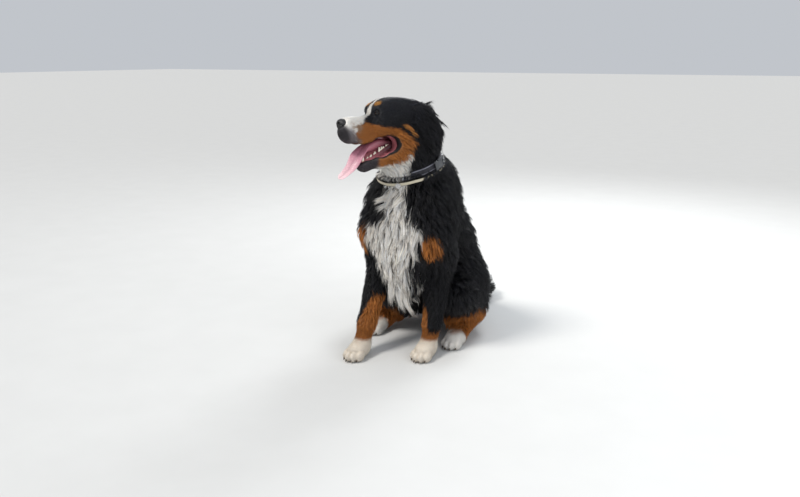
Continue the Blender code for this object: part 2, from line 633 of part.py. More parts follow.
strap_loop = Loop(STRAP_MIDDLE, STRAP_SLOPE, STRAP_SEAT, 0.108)
band_loop = Loop(BAND_MIDDLE, BAND_SLOPE, BAND_SEAT, 0.118)
strap_loop.ribbon("collar_strap", STRAP_WIDTH, STRAP_THICK)
band_loop.ribbon("collar_band", BAND_WIDTH, BAND_THICK)
for piece in ("neck", "chest", "head", "lower_jaw", "upper_arm_l", "upper_arm_r", "ear_l", "ear_r"):
    o = bpy.data.objects[piece]
    before = len(o.data.vertices)
    boolean(o, strap_loop.ribbon("groove", STRAP_WIDTH + 2 * GAP, 0.060, -GAP, TOOLS))
    boolean(o, band_loop.ribbon("groove", BAND_WIDTH + 2 * GAP, 0.060, -GAP, TOOLS))
    if len(o.data.vertices) != before:
        largest(o)

R = strap_loop.frame(BUCKLE_ANGLE)
buckle = box("collar_buckle", strap_loop.over(BUCKLE_ANGLE, STRAP_THICK + GAP + 0.003 + BUCKLE_SIZE[2] / 2, BUCKLE_RISE), (BUCKLE_SIZE[0] / 2, BUCKLE_SIZE[1] / 2, BUCKLE_SIZE[2] / 2), R)
TOOLS.objects.unlink(buckle)
DOG.objects.link(buckle)
b = buckle.modifiers.new("edge", "BEVEL")
b.width, b.segments, b.limit_method = BUCKLE_BEVEL, 1, "NONE"
bake(buckle)


def ring(name, at, axes, radius, wire):
    bm = bmesh.new()
    n, m = 16, 6
    rows = []
    for i in range(n):
        a = 2 * pi * i / n
        d = axes[:, 0] * cos(a) + axes[:, 1] * sin(a)
        rows.append([bm.verts.new(at + d * (radius + wire * cos(2 * pi * k / m)) + axes[:, 2] * wire * sin(2 * pi * k / m)) for k in range(m)])
    for a, b in zip(rows, rows[1:] + rows[:1]):
        for k in range(m):
            bm.faces.new((a[k], a[(k + 1) % m], b[(k + 1) % m], b[k]))
    bmesh.ops.recalc_face_normals(bm, faces=bm.faces)
    return from_bmesh(name, bm)


R = strap_loop.frame(RING_ANGLE)
ring("collar_ring", strap_loop.over(RING_ANGLE, STRAP_THICK + 0.0022 + 0.003), R, RING_RADIUS, RING_WIRE)
R = band_loop.frame(TAG_ANGLE)
bm = bmesh.new()
m = np.eye(4)
m[:3, :3], m[:3, 3] = R, band_loop.over(TAG_ANGLE, BAND_THICK + 0.0016 + 0.0012, -0.004)
bmesh.ops.create_cone(bm, cap_ends=True, segments=16, radius1=TAG_RADIUS, radius2=TAG_RADIUS, depth=TAG_THICK, matrix=Matrix(m.tolist()))
from_bmesh("collar_tag", bm)
R = strap_loop.frame(BUCKLE_ANGLE)
boolean(neck_, box("seat", strap_loop.over(BUCKLE_ANGLE, STRAP_THICK + 0.003 + 0.024, BUCKLE_RISE), (BUCKLE_SIZE[0] / 2 + GAP, BUCKLE_SIZE[1] / 2 + GAP, 0.024), R))
R = strap_loop.frame(RING_ANGLE)
boolean(neck_, box("seat", strap_loop.over(RING_ANGLE, STRAP_THICK + 0.0022 + 0.020), (RING_RADIUS + RING_WIRE + GAP, RING_RADIUS + RING_WIRE + GAP, 0.020), R))
R = band_loop.frame(TAG_ANGLE)
for piece in ("neck", "chest", "lower_jaw"):
    o = bpy.data.objects[piece]
    boolean(o, box("seat", band_loop.over(TAG_ANGLE, BAND_THICK + 0.0010 + 0.024, -0.004), (TAG_RADIUS + 0.001, TAG_RADIUS + 0.001, 0.024), R))
    largest(o)

# ---- colours and placing --------------------------------------------------
COLOURS = {"forepaw": WHITE, "hindfoot": WHITE, "forearm": TAN, "lower_jaw": TAN, "nose_pad": NOSE, "tongue": TONGUE, "eye": EYE,
           "collar_strap": NYLON, "collar_buckle": PLASTIC, "collar_ring": STEEL, "collar_band": CREAM, "collar_tag": STEEL}
total = 0
for o in list(DOG.objects):
    colour = next((c for k, c in COLOURS.items() if o.name.startswith(k)), BLACK)
    shiny = o.name.startswith(("eye", "nose", "tongue"))
    paint(o, colour, 0.25 if shiny else 0.35 if colour in (STEEL, PLASTIC) else 0.85, 1.0 if colour == STEEL else 0.0)
    set_points(o, points_of(o) + np.asarray(SHIFT))
    o.data.shade_smooth()
    o.data.set_sharp_from_angle(angle=radians(SHARP))
    total += sum(len(p.vertices) - 2 for p in o.data.polygons)
for o in list(TOOLS.objects):
    bpy.data.objects.remove(o)
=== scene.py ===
"""A large long-coated dog sitting upright: one skin over the named masses of the body, and its coat in tufts of solid mesh that follow the lie of the hair."""

from math import cos, pi, radians, sin

import bmesh
import bpy
import numpy as np
from mathutils import Matrix, Vector
from mathutils.bvhtree import BVHTree
from mathutils.kdtree import KDTree


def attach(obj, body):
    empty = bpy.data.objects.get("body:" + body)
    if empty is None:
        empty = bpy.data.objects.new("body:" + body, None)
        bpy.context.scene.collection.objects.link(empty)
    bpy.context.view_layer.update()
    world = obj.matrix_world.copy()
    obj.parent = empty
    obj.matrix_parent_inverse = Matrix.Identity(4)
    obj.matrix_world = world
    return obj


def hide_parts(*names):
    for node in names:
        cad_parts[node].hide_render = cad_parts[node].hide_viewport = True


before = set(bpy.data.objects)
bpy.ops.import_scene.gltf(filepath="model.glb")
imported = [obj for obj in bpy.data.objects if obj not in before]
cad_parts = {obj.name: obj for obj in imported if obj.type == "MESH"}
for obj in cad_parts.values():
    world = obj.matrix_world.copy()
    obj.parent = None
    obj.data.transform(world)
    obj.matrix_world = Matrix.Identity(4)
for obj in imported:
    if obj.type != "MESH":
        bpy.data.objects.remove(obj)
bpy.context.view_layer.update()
RNG = np.random.default_rng(7)

# ---- sizes in metres, as in the construction ------------------------------
SHIFT = np.array((-0.00803, -0.25404, 0.0))
HEAD_AT = np.array((-0.008, -0.100, 0.813))
HEAD_TURN, HEAD_LIFT, HEAD_ROLL = 34.0, 2.5, 6.0
EYE_RADIUS = 0.0118
EYE_AT = (0.0553, 0.0325, 0.0034)
STRAP_WIDTH, STRAP_THICK, STRAP_SEAT = 0.025, 0.0030, 0.0110
BAND_WIDTH, BAND_THICK, BAND_SEAT = 0.0095, 0.0018, 0.0180
STRAP_MIDDLE, STRAP_SLOPE = (0.025, -0.003, 0.6470), (0.12, 0.33)
BAND_MIDDLE, BAND_SLOPE = (0.022, -0.002, 0.6240), (0.095, 0.30)
LOOP_STEPS = 28
BUCKLE_SIZE, BUCKLE_ANGLE, BUCKLE_RISE = (0.044, 0.031, 0.012), -9.0, 0.0015
RING_RADIUS, RING_WIRE, RING_ANGLE = 0.0135, 0.0017, 15.0
TAG_RADIUS, TAG_THICK, TAG_ANGLE = 0.0095, 0.0016, -88.0
GAP = 0.0003

# ---- colours, linear ------------------------------------------------------
BLACK = np.array((0.0060, 0.0060, 0.0080))
TAN = np.array((0.440, 0.155, 0.032))
WHITE = np.array((0.860, 0.825, 0.775))
LIP = np.array((0.0045, 0.0034, 0.0038))
GREY = np.array((0.110, 0.100, 0.105))


def unit(v):
    v = np.asarray(v, float)
    return v / np.linalg.norm(v)


def rows_unit(A):
    return A / np.maximum(np.linalg.norm(A, axis=-1, keepdims=True), 1e-12)


def turned(yaw=0.0, pitch=0.0, roll=0.0):
    y, p, r = radians(yaw), radians(pitch), radians(roll)
    f = np.array([-sin(y) * cos(p), -cos(y) * cos(p), sin(p)])
    l = np.array([cos(y), -sin(y), 0.0])
    u = np.cross(f, l)
    l = l * cos(r) + u * sin(r)
    return np.stack([f, l, np.cross(f, l)], 1)


def leaned(degrees):
    t = np.array([0, -cos(radians(degrees)), sin(radians(degrees))])
    x = np.array([1.0, 0, 0])
    return np.stack([x, np.cross(t, x), t], 1)


HEAD = turned(HEAD_TURN, HEAD_LIFT, HEAD_ROLL)


def head(p):
    return HEAD_AT + HEAD @ np.asarray(p, float)


def smooth(x, a, b):
    t = np.clip((x - a) / (b - a), 0, 1)
    return t * t * (3 - 2 * t)


# ---- masses ---------------------------------------------------------------
class Ball:
    def __init__(self, middle, radii, axes=None):
        self.c, self.r = np.asarray(middle, float), np.asarray(radii, float)
        self.R = np.eye(3) if axes is None else axes
        e = np.sqrt(((self.R * self.r) ** 2).sum(1))
        self.lo, self.hi = self.c - e, self.c + e

    def distance(self, P):
        a = ((P - self.c) @ self.R) / self.r
        k0 = np.sqrt((a * a).sum(-1))
        k1 = np.sqrt(((a / self.r) ** 2).sum(-1))
        return np.where(k1 > 1e-9, k0 * (k0 - 1.0) / np.maximum(k1, 1e-9), -self.r.min())


class Limb:
    def __init__(self, start, end, start_radius, end_radius):
        self.a, self.b, self.ra, self.rb = np.asarray(start, float), np.asarray(end, float), start_radius, end_radius
        self.lo = np.minimum(self.a - start_radius, self.b - end_radius)
        self.hi = np.maximum(self.a + start_radius, self.b + end_radius)

    def distance(self, P):
        ba = self.b - self.a
        l2, rr = ba @ ba, self.ra - self.rb
        a2, il2 = l2 - rr * rr, 1.0 / l2
        pa = P - self.a
        y = pa @ ba
        z = y - l2
        v = pa * l2 - y[..., None] * ba
        x2 = (v * v).sum(-1)
        y2, z2 = y * y * l2, z * z * l2
        k = np.sign(rr) * rr * rr * x2
        o = (np.sqrt(np.maximum(x2 * a2 * il2, 0)) + y * rr) * il2 - self.ra
        o = np.where(np.sign(y) * a2 * y2 < k, np.sqrt(x2 + y2) * il2 - self.ra, o)
        return np.where(np.sign(z) * a2 * z2 > k, np.sqrt(x2 + z2) * il2 - self.rb, o)


class Block:
    def __init__(self, middle, half, radius, axes):
        self.c, self.h, self.r, self.R = np.asarray(middle, float), np.asarray(half, float), radius, axes
        e = (np.abs(self.R) * self.h).sum(1) + radius
        self.lo, self.hi = self.c - e, self.c + e

    def distance(self, P):
        q = np.abs((P - self.c) @ self.R) - self.h
        return np.sqrt((np.maximum(q, 0) ** 2).sum(-1)) + np.minimum(q.max(-1), 0) - self.r


REACH = 0.075


def joined(d, e, blend):
    h = np.maximum(blend - np.abs(d - e), 0) / blend
    return np.minimum(d, e) - h * h * blend * 0.25


class Figure:
    """Masses blended in turn. Each carries the coat's depth, the way its hair lies, its wave, how closely it clings and how long it is."""

    def __init__(self):
        self.masses, self.hollows, self.cores = [], [], []

    def add(self, shape, blend, coat, lie=(0, 0, -1), wave=0.0, cling=0.8, long=1.0):
        self.masses.append((shape, blend, np.array([coat, *unit(lie), wave, cling, long])))

    def hollow(self, shape, blend):
        self.hollows.append((shape, blend))

    def inner(self, shape, blend):
        self.cores.append((shape, blend))

    def near(self, P, shape, reach=REACH):
        return np.nonzero(((P > shape.lo - reach) & (P < shape.hi + reach)).all(1))[0]

    def read(self, P, traits=True, depth=0.0):
        """Distance to the skin, and the coat's traits there."""
        d = np.full(len(P), 0.12)
        W, T = np.zeros(len(P)), np.zeros((len(P), 7))
        for shape, blend, trait in self.masses:
            i = self.near(P, shape)
            if not len(i):
                continue
            e = shape.distance(P[i])
            d[i] = joined(d[i], e, blend)
            if traits:
                w = np.exp(-np.clip(e, -0.04, 0.2) / 0.018)
                W[i] += w
                T[i] += w[:, None] * trait
        if traits:
            T /= np.maximum(W, 1e-9)[:, None]
            if depth:
                d = d - depth * T[:, 0]
        for shape, blend in self.hollows:
            i = self.near(P, shape, 0.02)
            if len(i):
                d[i] = -joined(-d[i], shape.distance(P[i]), blend)
        for shape, blend in self.cores:
            i = self.near(P, shape, 0.03)
            if len(i):
                d[i] = joined(d[i], shape.distance(P[i]), blend)
        return (d, T) if traits else d

    def lattice(self, axes):
        d = np.full([len(a) for a in axes], 0.12, np.float32)
        for kind, rows, reach in (("mass", self.masses, REACH), ("hollow", self.hollows, 0.02), ("core", self.cores, 0.03)):
            for row in rows:
                shape, blend = row[0], row[1]
                cut = tuple(slice(int(np.searchsorted(a, shape.lo[i] - reach)), int(np.searchsorted(a, shape.hi[i] + reach))) for i, a in enumerate(axes))
                if any(c.stop <= c.start for c in cut):
                    continue
                P = np.stack(np.meshgrid(*[a[c] for a, c in zip(axes, cut)], indexing="ij"), -1)
                e = shape.distance(P).astype(np.float32)
                d[cut] = -joined(-d[cut], e, blend) if kind == "hollow" else joined(d[cut], e, blend)
        return d

    def slope(self, P, step=6e-4):
        d0 = self.read(P, False)
        return rows_unit(np.stack([self.read(P + step * a, False) - d0 for a in np.eye(3)], 1))


# ---- the way the hair lies ------------------------------------------------
def trunk_and_limbs(f):
    f.add(Ball((0.010, 0.105, 0.430), (0.127, 0.150, 0.220), leaned(54)), 0.04, 0.026, (0, 0.50, -0.87), 0.6)       # ribs
    f.add(Ball((0.014, -0.045, 0.435), (0.074, 0.080, 0.130)), 0.05, 0.030, (0, -0.05, -1), 1.0, 0.6)              # breast
    f.add(Ball((0.010, -0.020, 0.345), (0.060, 0.080, 0.075)), 0.05, 0.034, (0, 0.02, -1), 1.0, 0.5, 1.1)               # brisket
    f.add(Limb((0.012, -0.020, 0.300), (0.022, -0.032, 0.226), 0.048, 0.020), 0.05, 0.034, (0.04, 0.0, -1), 1.0, 0.2, 1.15)
    f.add(Ball((0.010, 0.220, 0.300), (0.135, 0.138, 0.160)), 0.06, 0.028, (0, 0.55, -0.83), 0.7)                  # loin
    f.add(Ball((0.000, 0.350, 0.155), (0.136, 0.115, 0.138)), 0.05, 0.028, (0, 0.45, -0.90), 0.7)                  # rump
    f.add(Ball((0.024, 0.098, 0.560), (0.096, 0.088, 0.110)), 0.06, 0.028, (0, 0.45, -0.90), 0.6)                  # withers
    f.add(Limb((0.014, 0.025, 0.555), (0.036, -0.035, 0.735), 0.100, 0.072), 0.05, 0.022, (-0.05, 0.22, -0.97), 0.5)   # neck
    for s in (1, -1):
        f.add(Ball((s * 0.085 + 0.010, 0.002, 0.460), (0.056, 0.082, 0.125)), 0.05, 0.024, (0, 0.22, -1), 0.8)      # shoulder
        f.add(Limb((s * 0.097 + 0.007, -0.030, 0.405), (s * 0.100 + 0.009, 0.028, 0.318), 0.053, 0.043), 0.05, 0.020, (0, 0.30, -0.95), 0.6)
    for elbow, wrist, root in (((0.115, 0.030, 0.315), (0.114, -0.022, 0.106), (0.115, -0.050, 0.048)),
                               ((-0.092, 0.004, 0.315), (-0.088, -0.118, 0.106), (-0.088, -0.150, 0.048))):
        down = unit(np.array(wrist) - elbow) + np.array((0, 0.25, 0))
        f.add(Limb(elbow, wrist, 0.040, 0.025), 0.04, 0.011, down, 0.3, 0.9)
        f.add(Limb(wrist, root, 0.025, 0.026), 0.02, 0.005, (0, -0.3, -0.95), 0.0, 1.0, 0.9)
        foot(f, root[0], root[1] - 0.026, 0.033, 0.049, 0.028)
    for s in (1, -1):
        f.add(Ball((s * 0.104, 0.225, 0.160), (0.076, 0.145, 0.115)), 0.05, 0.026, (0, 0.30, -0.95), 0.7)           # thigh
        f.add(Limb((s * 0.112, 0.220, 0.190), (s * 0.150 + 0.008, 0.100, 0.180), 0.076, 0.048), 0.05, 0.022, (0, 0.10, -1), 0.6)
        f.add(Limb((s * 0.152 + 0.006, 0.100, 0.172), (s * 0.152, 0.262, 0.080), 0.044, 0.030), 0.04, 0.016, (0, 0.60, -0.8), 0.4)
        f.add(Limb((s * 0.148, 0.260, 0.072), (s * 0.152, 0.115, 0.034), 0.030, 0.026), 0.03, 0.010, (0, -0.75, -0.65), 0.1, 1.0)
        foot(f, s * 0.158, 0.078, 0.035, 0.051, 0.027)
    path = [(0, 0.43, 0.085), (0.02, 0.50, 0.060), (0.040, 0.57, 0.050), (0.038, 0.64, 0.046), (0.012, 0.70, 0.043), (-0.035, 0.74, 0.041)]
    sizes = [0.034, 0.028, 0.024, 0.020, 0.016, 0.011]
    for a, b, ra, rb in zip(path, path[1:], sizes, sizes[1:]):
        f.add(Limb(a, b, ra, rb), 0.02, 0.032, np.array(b) - a + np.array((0, 0, -0.02)), 0.8, 0.6)


TOES = (-0.0245, -0.0085, 0.0085, 0.0245)


def toe_lead(dx):
    return 0.028 if abs(dx) < 0.02 else 0.015


def foot(f, x, y, half_width, half_length, half_height):
    f.add(Ball((x, y, half_height - 0.001), (half_width, half_length, half_height)), 0.02, 0.004, (0, -0.8, -0.6), 0, 1, 0.8)
    for dx in TOES:
        f.add(Ball((x + dx, y + 0.004 - 0.022 - toe_lead(dx), 0.0170), (0.0108, 0.0225, 0.0168)), 0.006, 0.003, (0, -0.85, -0.5), 0, 1, 0.6)


FEET = [(0.115, -0.076), (-0.088, -0.176), (0.158, 0.078), (-0.158, 0.078)]


def skull_and_jaws(f):
    def ball(c, r, blend=0.02, coat=0.005, lie=(-1, 0, 0), wave=0.0, cling=1.0):
        f.add(Ball(head(c), r, HEAD), blend, coat, HEAD @ np.asarray(lie, float), wave, cling)

    def limb(a, b, ra, rb, blend=0.02, coat=0.005, lie=(-1, 0, 0), wave=0.0, cling=1.0):
        f.add(Limb(head(a), head(b), ra, rb), blend, coat, HEAD @ np.asarray(lie, float), wave, cling)

    ball((-0.022, 0, 0.001), (0.078, 0.064, 0.051), lie=(-1, 0, -0.1))
    ball((0.022, 0, 0.004), (0.042, 0.048, 0.042), 0.03, lie=(-1, 0, 0.25))
    ball((-0.080, 0, -0.008), (0.042, 0.052, 0.046), 0.03, 0.012, lie=(-0.7, 0, -0.7), wave=0.3)
    for s in (1, -1):
        ball((0.047, s * 0.029, 0.015), (0.024, 0.021, 0.018), lie=(-0.8, 0, 0.6))
        ball((-0.020, s * 0.045, -0.005), (0.062, 0.030, 0.048), 0.03, lie=(-0.95, 0, -0.3))
        ball((0.024, s * 0.046, -0.036), (0.052, 0.024, 0.031), 0.03, 0.005, lie=(-0.95, 0, -0.25))
        ball((-0.026, s * 0.045, -0.076), (0.046, 0.034, 0.050), 0.03, 0.012, lie=(-0.75, 0, -0.65), wave=0.2)
        ball((0.106, s * 0.024, -0.057), (0.052, 0.018, 0.030), 0.02, 0.003, lie=(-0.8, 0, -0.6))
        limb((0.112, s * 0.0270, -0.0795), (0.078, s * 0.0320, -0.0765), 0.0105, 0.0100, 0.012, 0.003, lie=(-0.85, 0, -0.5))
    limb((0.058, 0, -0.041), (0.142, 0, -0.045), 0.036, 0.027, 0.03, 0.003, lie=(-1, 0, 0.0))
    f.add(Block(head((0.106, 0, -0.034)), (0.042, 0.018, 0.012), 0.012, HEAD), 0.015, 0.003, HEAD @ np.array((-1.0, 0, 0.1)), 0, 1)
    ball((0.145, 0, -0.057), (0.028, 0.027, 0.030), 0.02, 0.002, lie=(-0.6, 0, -0.8))
    ball((-0.022, 0, -0.126), (0.054, 0.050, 0.058), 0.04, 0.020, lie=(-0.45, 0, -0.9), wave=0.5, cling=0.8)
    for s in (1, -1):
        limb((-0.020, s * 0.042, -0.088), (0.050, s * 0.028, -0.146), 0.030, 0.017, 0.03, 0.007, lie=(-0.85, 0, -0.3))
        limb((0.050, s * 0.028, -0.146), (0.094, s * 0.012, -0.158), 0.016, 0.014, 0.02, 0.003, lie=(-0.95, 0, -0.2))
    ball((0.094, 0, -0.158), (0.020, 0.021, 0.016), 0.02, 0.002, lie=(-0.9, 0, -0.3))


def ears(f):
    for s in (1, -1):
        L = unit((-0.40, s * 0.14, -0.92))
        q = np.array([0.05, s * 1.0, 0.12])
        N = unit(q - (q @ L) * L)
        A = HEAD @ np.stack([L, np.cross(N, L), N], 1)
        f.add(Ball(head((-0.096, s * 0.078, -0.030)), (0.062, 0.038, 0.0075), A), 0.006, 0.0085, HEAD @ L, 0.9, 0.45, 2.0)
        f.add(Limb(head((-0.060, s * 0.062, 0.018)), head((-0.102, s * 0.064, 0.016)), 0.011, 0.012), 0.014, 0.007, HEAD @ np.array((-0.6, 0, -0.8)), 0.5, 0.6, 1.7)


MOUTH = [((0.031, -0.094), 0.026), ((0.056, -0.103), 0.029), ((0.086, -0.1145), 0.0245), ((0.118, -0.1225), 0.0270)]
ROW = [(0.100, 0.013, -0.150), (0.062, 0.0225, -0.131), (0.018, 0.0300, -0.101)]
THROAT = [((-0.014, 0, -0.086), (0.118, 0, -0.074), 0.024, 0.016), ((0.000, 0, -0.118), (0.078, 0, -0.146), 0.019, 0.012)]


def mouth(f):
    for (forward, up), radius in MOUTH:
        f.hollow(Limb(head((forward, -0.10, up)), head((forward, 0.10, up)), radius, radius * 0.999), 0.006)
    for a, b, ra, rb in THROAT:
        f.hollow(Limb(head(a), head(b), ra, rb), 0.006)
    for s in (1, -1):
        for a, b in zip(ROW, ROW[1:]):
            f.inner(Limb(head((a[0], s * a[1], a[2])), head((b[0], s * b[1], b[2])), 0.0075, 0.0080), 0.006)
    f.inner(Limb(head((0.006, 0, -0.110)), head((0.092, 0.001, -0.1355)), 0.0170, 0.0165), 0.006)


LOOK = {s: unit(HEAD @ np.array([0.74, s * 0.67, 0.05])) for s in (1, -1)}


def sockets(f):
    for s in (1, -1):
        at = head((EYE_AT[0], s * EYE_AT[1], EYE_AT[2]))
        f.hollow(Ball(at, (EYE_RADIUS + 0.0012,) * 3), 0.002)
        f.hollow(Limb(at + LOOK[s] * 0.006, at + LOOK[s] * 0.022, 0.0090, 0.0110), 0.003)


def mouth_distance(P):
    """Distance to the open space of the mouth."""
    d = np.full(len(P), 0.1)
    Q = (P - HEAD_AT) @ HEAD
    for (forward, up), radius in MOUTH:
        d = joined(d, np.hypot(Q[:, 0] - forward, Q[:, 2] - up) - radius, 0.006)
    for a, b, ra, rb in THROAT:
        d = joined(d, Limb(a, b, ra, rb).distance(Q), 0.006)
    return d


# ---- meshes ---------------------------------------------------------------
def surface(axes, D):
    """Quads of the zero surface of D on a lattice, one point in each cell that it crosses."""
    S = D < 0
    c = S[:-1, :-1, :-1].astype(np.int8)
    for a, b, e in ((1, 0, 0), (0, 1, 0), (0, 0, 1), (1, 1, 0), (1, 0, 1), (0, 1, 1), (1, 1, 1)):
        c = c + S[a:S.shape[0] - 1 + a, b:S.shape[1] - 1 + b, e:S.shape[2] - 1 + e]
    act = (c > 0) & (c < 8)
    I = np.argwhere(act)
    idx = np.full(act.shape, -1, np.int64)
    idx[act] = np.arange(len(I))
    corners = [(a, b, e) for a in (0, 1) for b in (0, 1) for e in (0, 1)]
    edges = [(p, q) for p in corners for q in corners if sum(q) - sum(p) == 1 and all(y >= x for x, y in zip(p, q))]
    acc, cnt = np.zeros((len(I), 3)), np.zeros(len(I))
    for p, q in edges:
        dp, dq = D[tuple((I + p).T)], D[tuple((I + q).T)]
        m = (dp < 0) != (dq < 0)
        t = np.where(m, dp / np.where(m, dp - dq, 1), 0)
        acc += (np.array(p) + t[:, None] * (np.array(q) - np.array(p))) * m[:, None]
        cnt += m
    part = acc / cnt[:, None]
    V = np.stack([axes[k][I[:, k]] + part[:, k] * (axes[k][I[:, k] + 1] - axes[k][I[:, k]]) for k in range(3)], 1)
    F = []
    for a in range(3):
        b, e = (a + 1) % 3, (a + 2) % 3
        s0, s1 = [slice(None)] * 3, [slice(None)] * 3
        s0[a], s1[a] = slice(0, -1), slice(1, None)
        x, y = S[tuple(s0)], S[tuple(s1)]
        ch = np.argwhere(x != y)
        ch = ch[(ch[:, b] > 0) & (ch[:, e] > 0) & (ch[:, b] < S.shape[b] - 1) & (ch[:, e] < S.shape[e] - 1)]
        up = x[tuple(ch.T)]

        def cell(db, de):
            q = ch.copy()
            q[:, b] += db
            q[:, e] += de
            return idx[tuple(q.T)]

        q = np.stack([cell(-1, -1), cell(0, -1), cell(0, 0), cell(-1, 0)], 1)
        q[~up] = q[~up][:, ::-1]
        F.append(q)
    return V, np.concatenate(F)


def even(lo, hi, step):
    return np.linspace(lo, hi, max(2, int(round((hi - lo) / step)) + 1))


def graded(*stops):
    """Lattice lines from one stop to the next, each stretch with its own step."""
    out = []
    for (a, step), (b, _) in zip(stops, stops[1:]):
        out.append(even(a, b, step)[:-1])
    return np.concatenate(out + [[stops[-1][0]]])


def mesh_of(name, V, F, smooth_shaded=True, uv=None, colour=None, shift=True):
    """An object from points and faces that all have the same number of corners."""
    V = np.asarray(V, float) + (SHIFT if shift else 0)
    F = np.asarray(F)
    n, k = F.shape
    m = bpy.data.meshes.new(name)
    m.vertices.add(len(V))
    m.vertices.foreach_set("co", V.astype(np.float32).ravel())
    m.loops.add(n * k)
    m.loops.foreach_set("vertex_index", F.astype(np.int32).ravel())
    m.polygons.add(n)
    m.polygons.foreach_set("loop_start", np.arange(0, n * k, k, dtype=np.int32))
    m.update(calc_edges=True)
    if smooth_shaded:
        m.polygons.foreach_set("use_smooth", np.ones(n, bool))
    if uv is not None:
        for title, values in uv.items():
            layer = m.uv_layers.new(name=title)
            layer.data.foreach_set("uv", values[F.ravel()].astype(np.float32).ravel() if len(values) == len(V) else values.astype(np.float32).ravel())
    if colour is not None:
        tint(m, colour)
    o = bpy.data.objects.new(name, m)
    bpy.context.scene.collection.objects.link(o)
    return o


def tint(m, colour, name="Tint"):
    layer = m.color_attributes.new(name=name, type="FLOAT_COLOR", domain="POINT")
    layer.data.foreach_set("color", np.concatenate([colour, np.ones((len(colour), 1))], 1).astype(np.float32).ravel())


def worn(o, slot, *materials):
    o.data.materials.clear()
    for m in materials:
        o.data.materials.append(m)
    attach(o, "root")
    return o


def tube(points, radii, n=12, squash=1.0, up=(0, 0, 1), closed=False):
    """A lofted round piece along points."""
    P = np.asarray(points, float)
    T = rows_unit(np.gradient(P, axis=0)) if not closed else rows_unit(np.roll(P, -1, 0) - np.roll(P, 1, 0))
    A = rows_unit(np.cross(T, np.asarray(up, float)))
    B = np.cross(A, T)
    a = np.arange(n) * 2 * pi / n
    r = np.broadcast_to(np.asarray(radii, float), len(P))
    V = P[:, None] + r[:, None, None] * (A[:, None] * np.cos(a)[None, :, None] + squash * B[:, None] * np.sin(a)[None, :, None])
    V = V.reshape(-1, 3)
    F = []
    m = len(P)
    for i in range(m if closed else m - 1):
        j = (i + 1) % m
        for k in range(n):
            k2 = (k + 1) % n
            F.append((i * n + k, i * n + k2, j * n + k2))
            F.append((i * n + k, j * n + k2, j * n + k))
    if not closed:
        V = np.concatenate([V, P[:1], P[-1:]])
        for k in range(n):
            k2 = (k + 1) % n
            F.append((m * n, k2, k))
            F.append((m * n + 1, (m - 1) * n + k, (m - 1) * n + k2))
    return V, np.array(F)


def together(parts):
    V, F, at = [], [], 0
    for v, f in parts:
        V.append(v)
        F.append(f + at)
        at += len(v)
    return np.concatenate(V), np.concatenate(F)


def solid(shapes, cuts, step, pad=0.002, grain=None):
    """A closed surface of blended shapes less the cut ones, in whatever frame they are in."""
    lo = np.min([s.lo for s, _ in shapes], 0) - pad
    hi = np.max([s.hi for s, _ in shapes], 0) + pad
    axes = [even(a, b, step) for a, b in zip(lo, hi)]
    P = np.stack(np.meshgrid(*axes, indexing="ij"), -1)
    d = np.full(P.shape[:3], 0.05)
    for s, blend in shapes:
        d = joined(d, s.distance(P), blend)
    for s, blend in cuts:
        d = -joined(-d, s.distance(P), blend)
    if grain is not None:
        d = d + grain(P)
    return surface(axes, d)


# ---- materials ------------------------------------------------------------
class Paint:
    """Short hand for building a node material."""

    def __init__(self, name):
        self.m = bpy.data.materials.new(name)
        self.m.use_nodes = True
        self.t = self.m.node_tree
        self.b = self.t.nodes["Principled BSDF"]

    def node(self, kind, values=None, **props):
        n = self.t.nodes.new(kind)
        for k, v in props.items():
            setattr(n, k, v)
        for k, v in (values or {}).items():
            if isinstance(v, bpy.types.NodeSocket):
                self.t.links.new(v, n.inputs[k])
            else:
                n.inputs[k].default_value = v
        return n

    def set(self, **values):
        for k, v in values.items():
            self.b.inputs[k.replace("_", " ")].default_value = v
        return self

    def link(self, socket, to):
        self.t.links.new(socket, self.b.inputs[to])

    def math(self, how, a, b=None, clamp=False):
        n = self.t.nodes.new("ShaderNodeMath")
        n.operation, n.use_clamp = how, clamp
        for i, v in enumerate((a, b)):
            if v is None:
                continue
            if isinstance(v, bpy.types.NodeSocket):
                self.t.links.new(v, n.inputs[i])
            else:
                n.inputs[i].default_value = v
        return n.outputs[0]

    def mix(self, factor, a, b, how="MIX"):
        n = self.t.nodes.new("ShaderNodeMix")
        n.data_type, n.blend_type = "RGBA", how
        for i, v in ((0, factor), (6, a), (7, b)):
            if isinstance(v, bpy.types.NodeSocket):
                self.t.links.new(v, n.inputs[i])
            else:
                n.inputs[i].default_value = v if i == 0 or len(v) == 4 else (*v, 1.0)
        return n.outputs[2]

    def noise(self, scale, detail=3.0, vector=None, rough=0.55):
        v = vector or self.node("ShaderNodeTexCoord").outputs["Object"]
        return self.node("ShaderNodeTexNoise", {"Vector": v, "Scale": scale, "Detail": detail, "Roughness": rough}).outputs["Fac"]

    def bump(self, height, strength, distance):
        n = self.node("ShaderNodeBump", {"Height": height, "Strength": strength, "Distance": distance})
        self.link(n.outputs["Normal"], "Normal")
        return n


def coat_material():
    p = Paint("hair")
    colour = p.node("ShaderNodeAttribute", attribute_name="Tint").outputs["Color"]
    streak = p.noise(900.0, 2.0)
    shade = p.node("ShaderNodeMapRange", {"Value": streak, "From Min": 0.3, "From Max": 0.7, "To Min": 0.82, "To Max": 1.12}).outputs["Result"]
    grey = p.node("ShaderNodeCombineColor", {"Red": shade, "Green": shade, "Blue": shade}).outputs["Color"]
    p.link(p.mix(1.0, colour, grey, "MULTIPLY"), "Base Color")
    p.set(Roughness=0.40, Specular_IOR_Level=0.32)
    return p.m


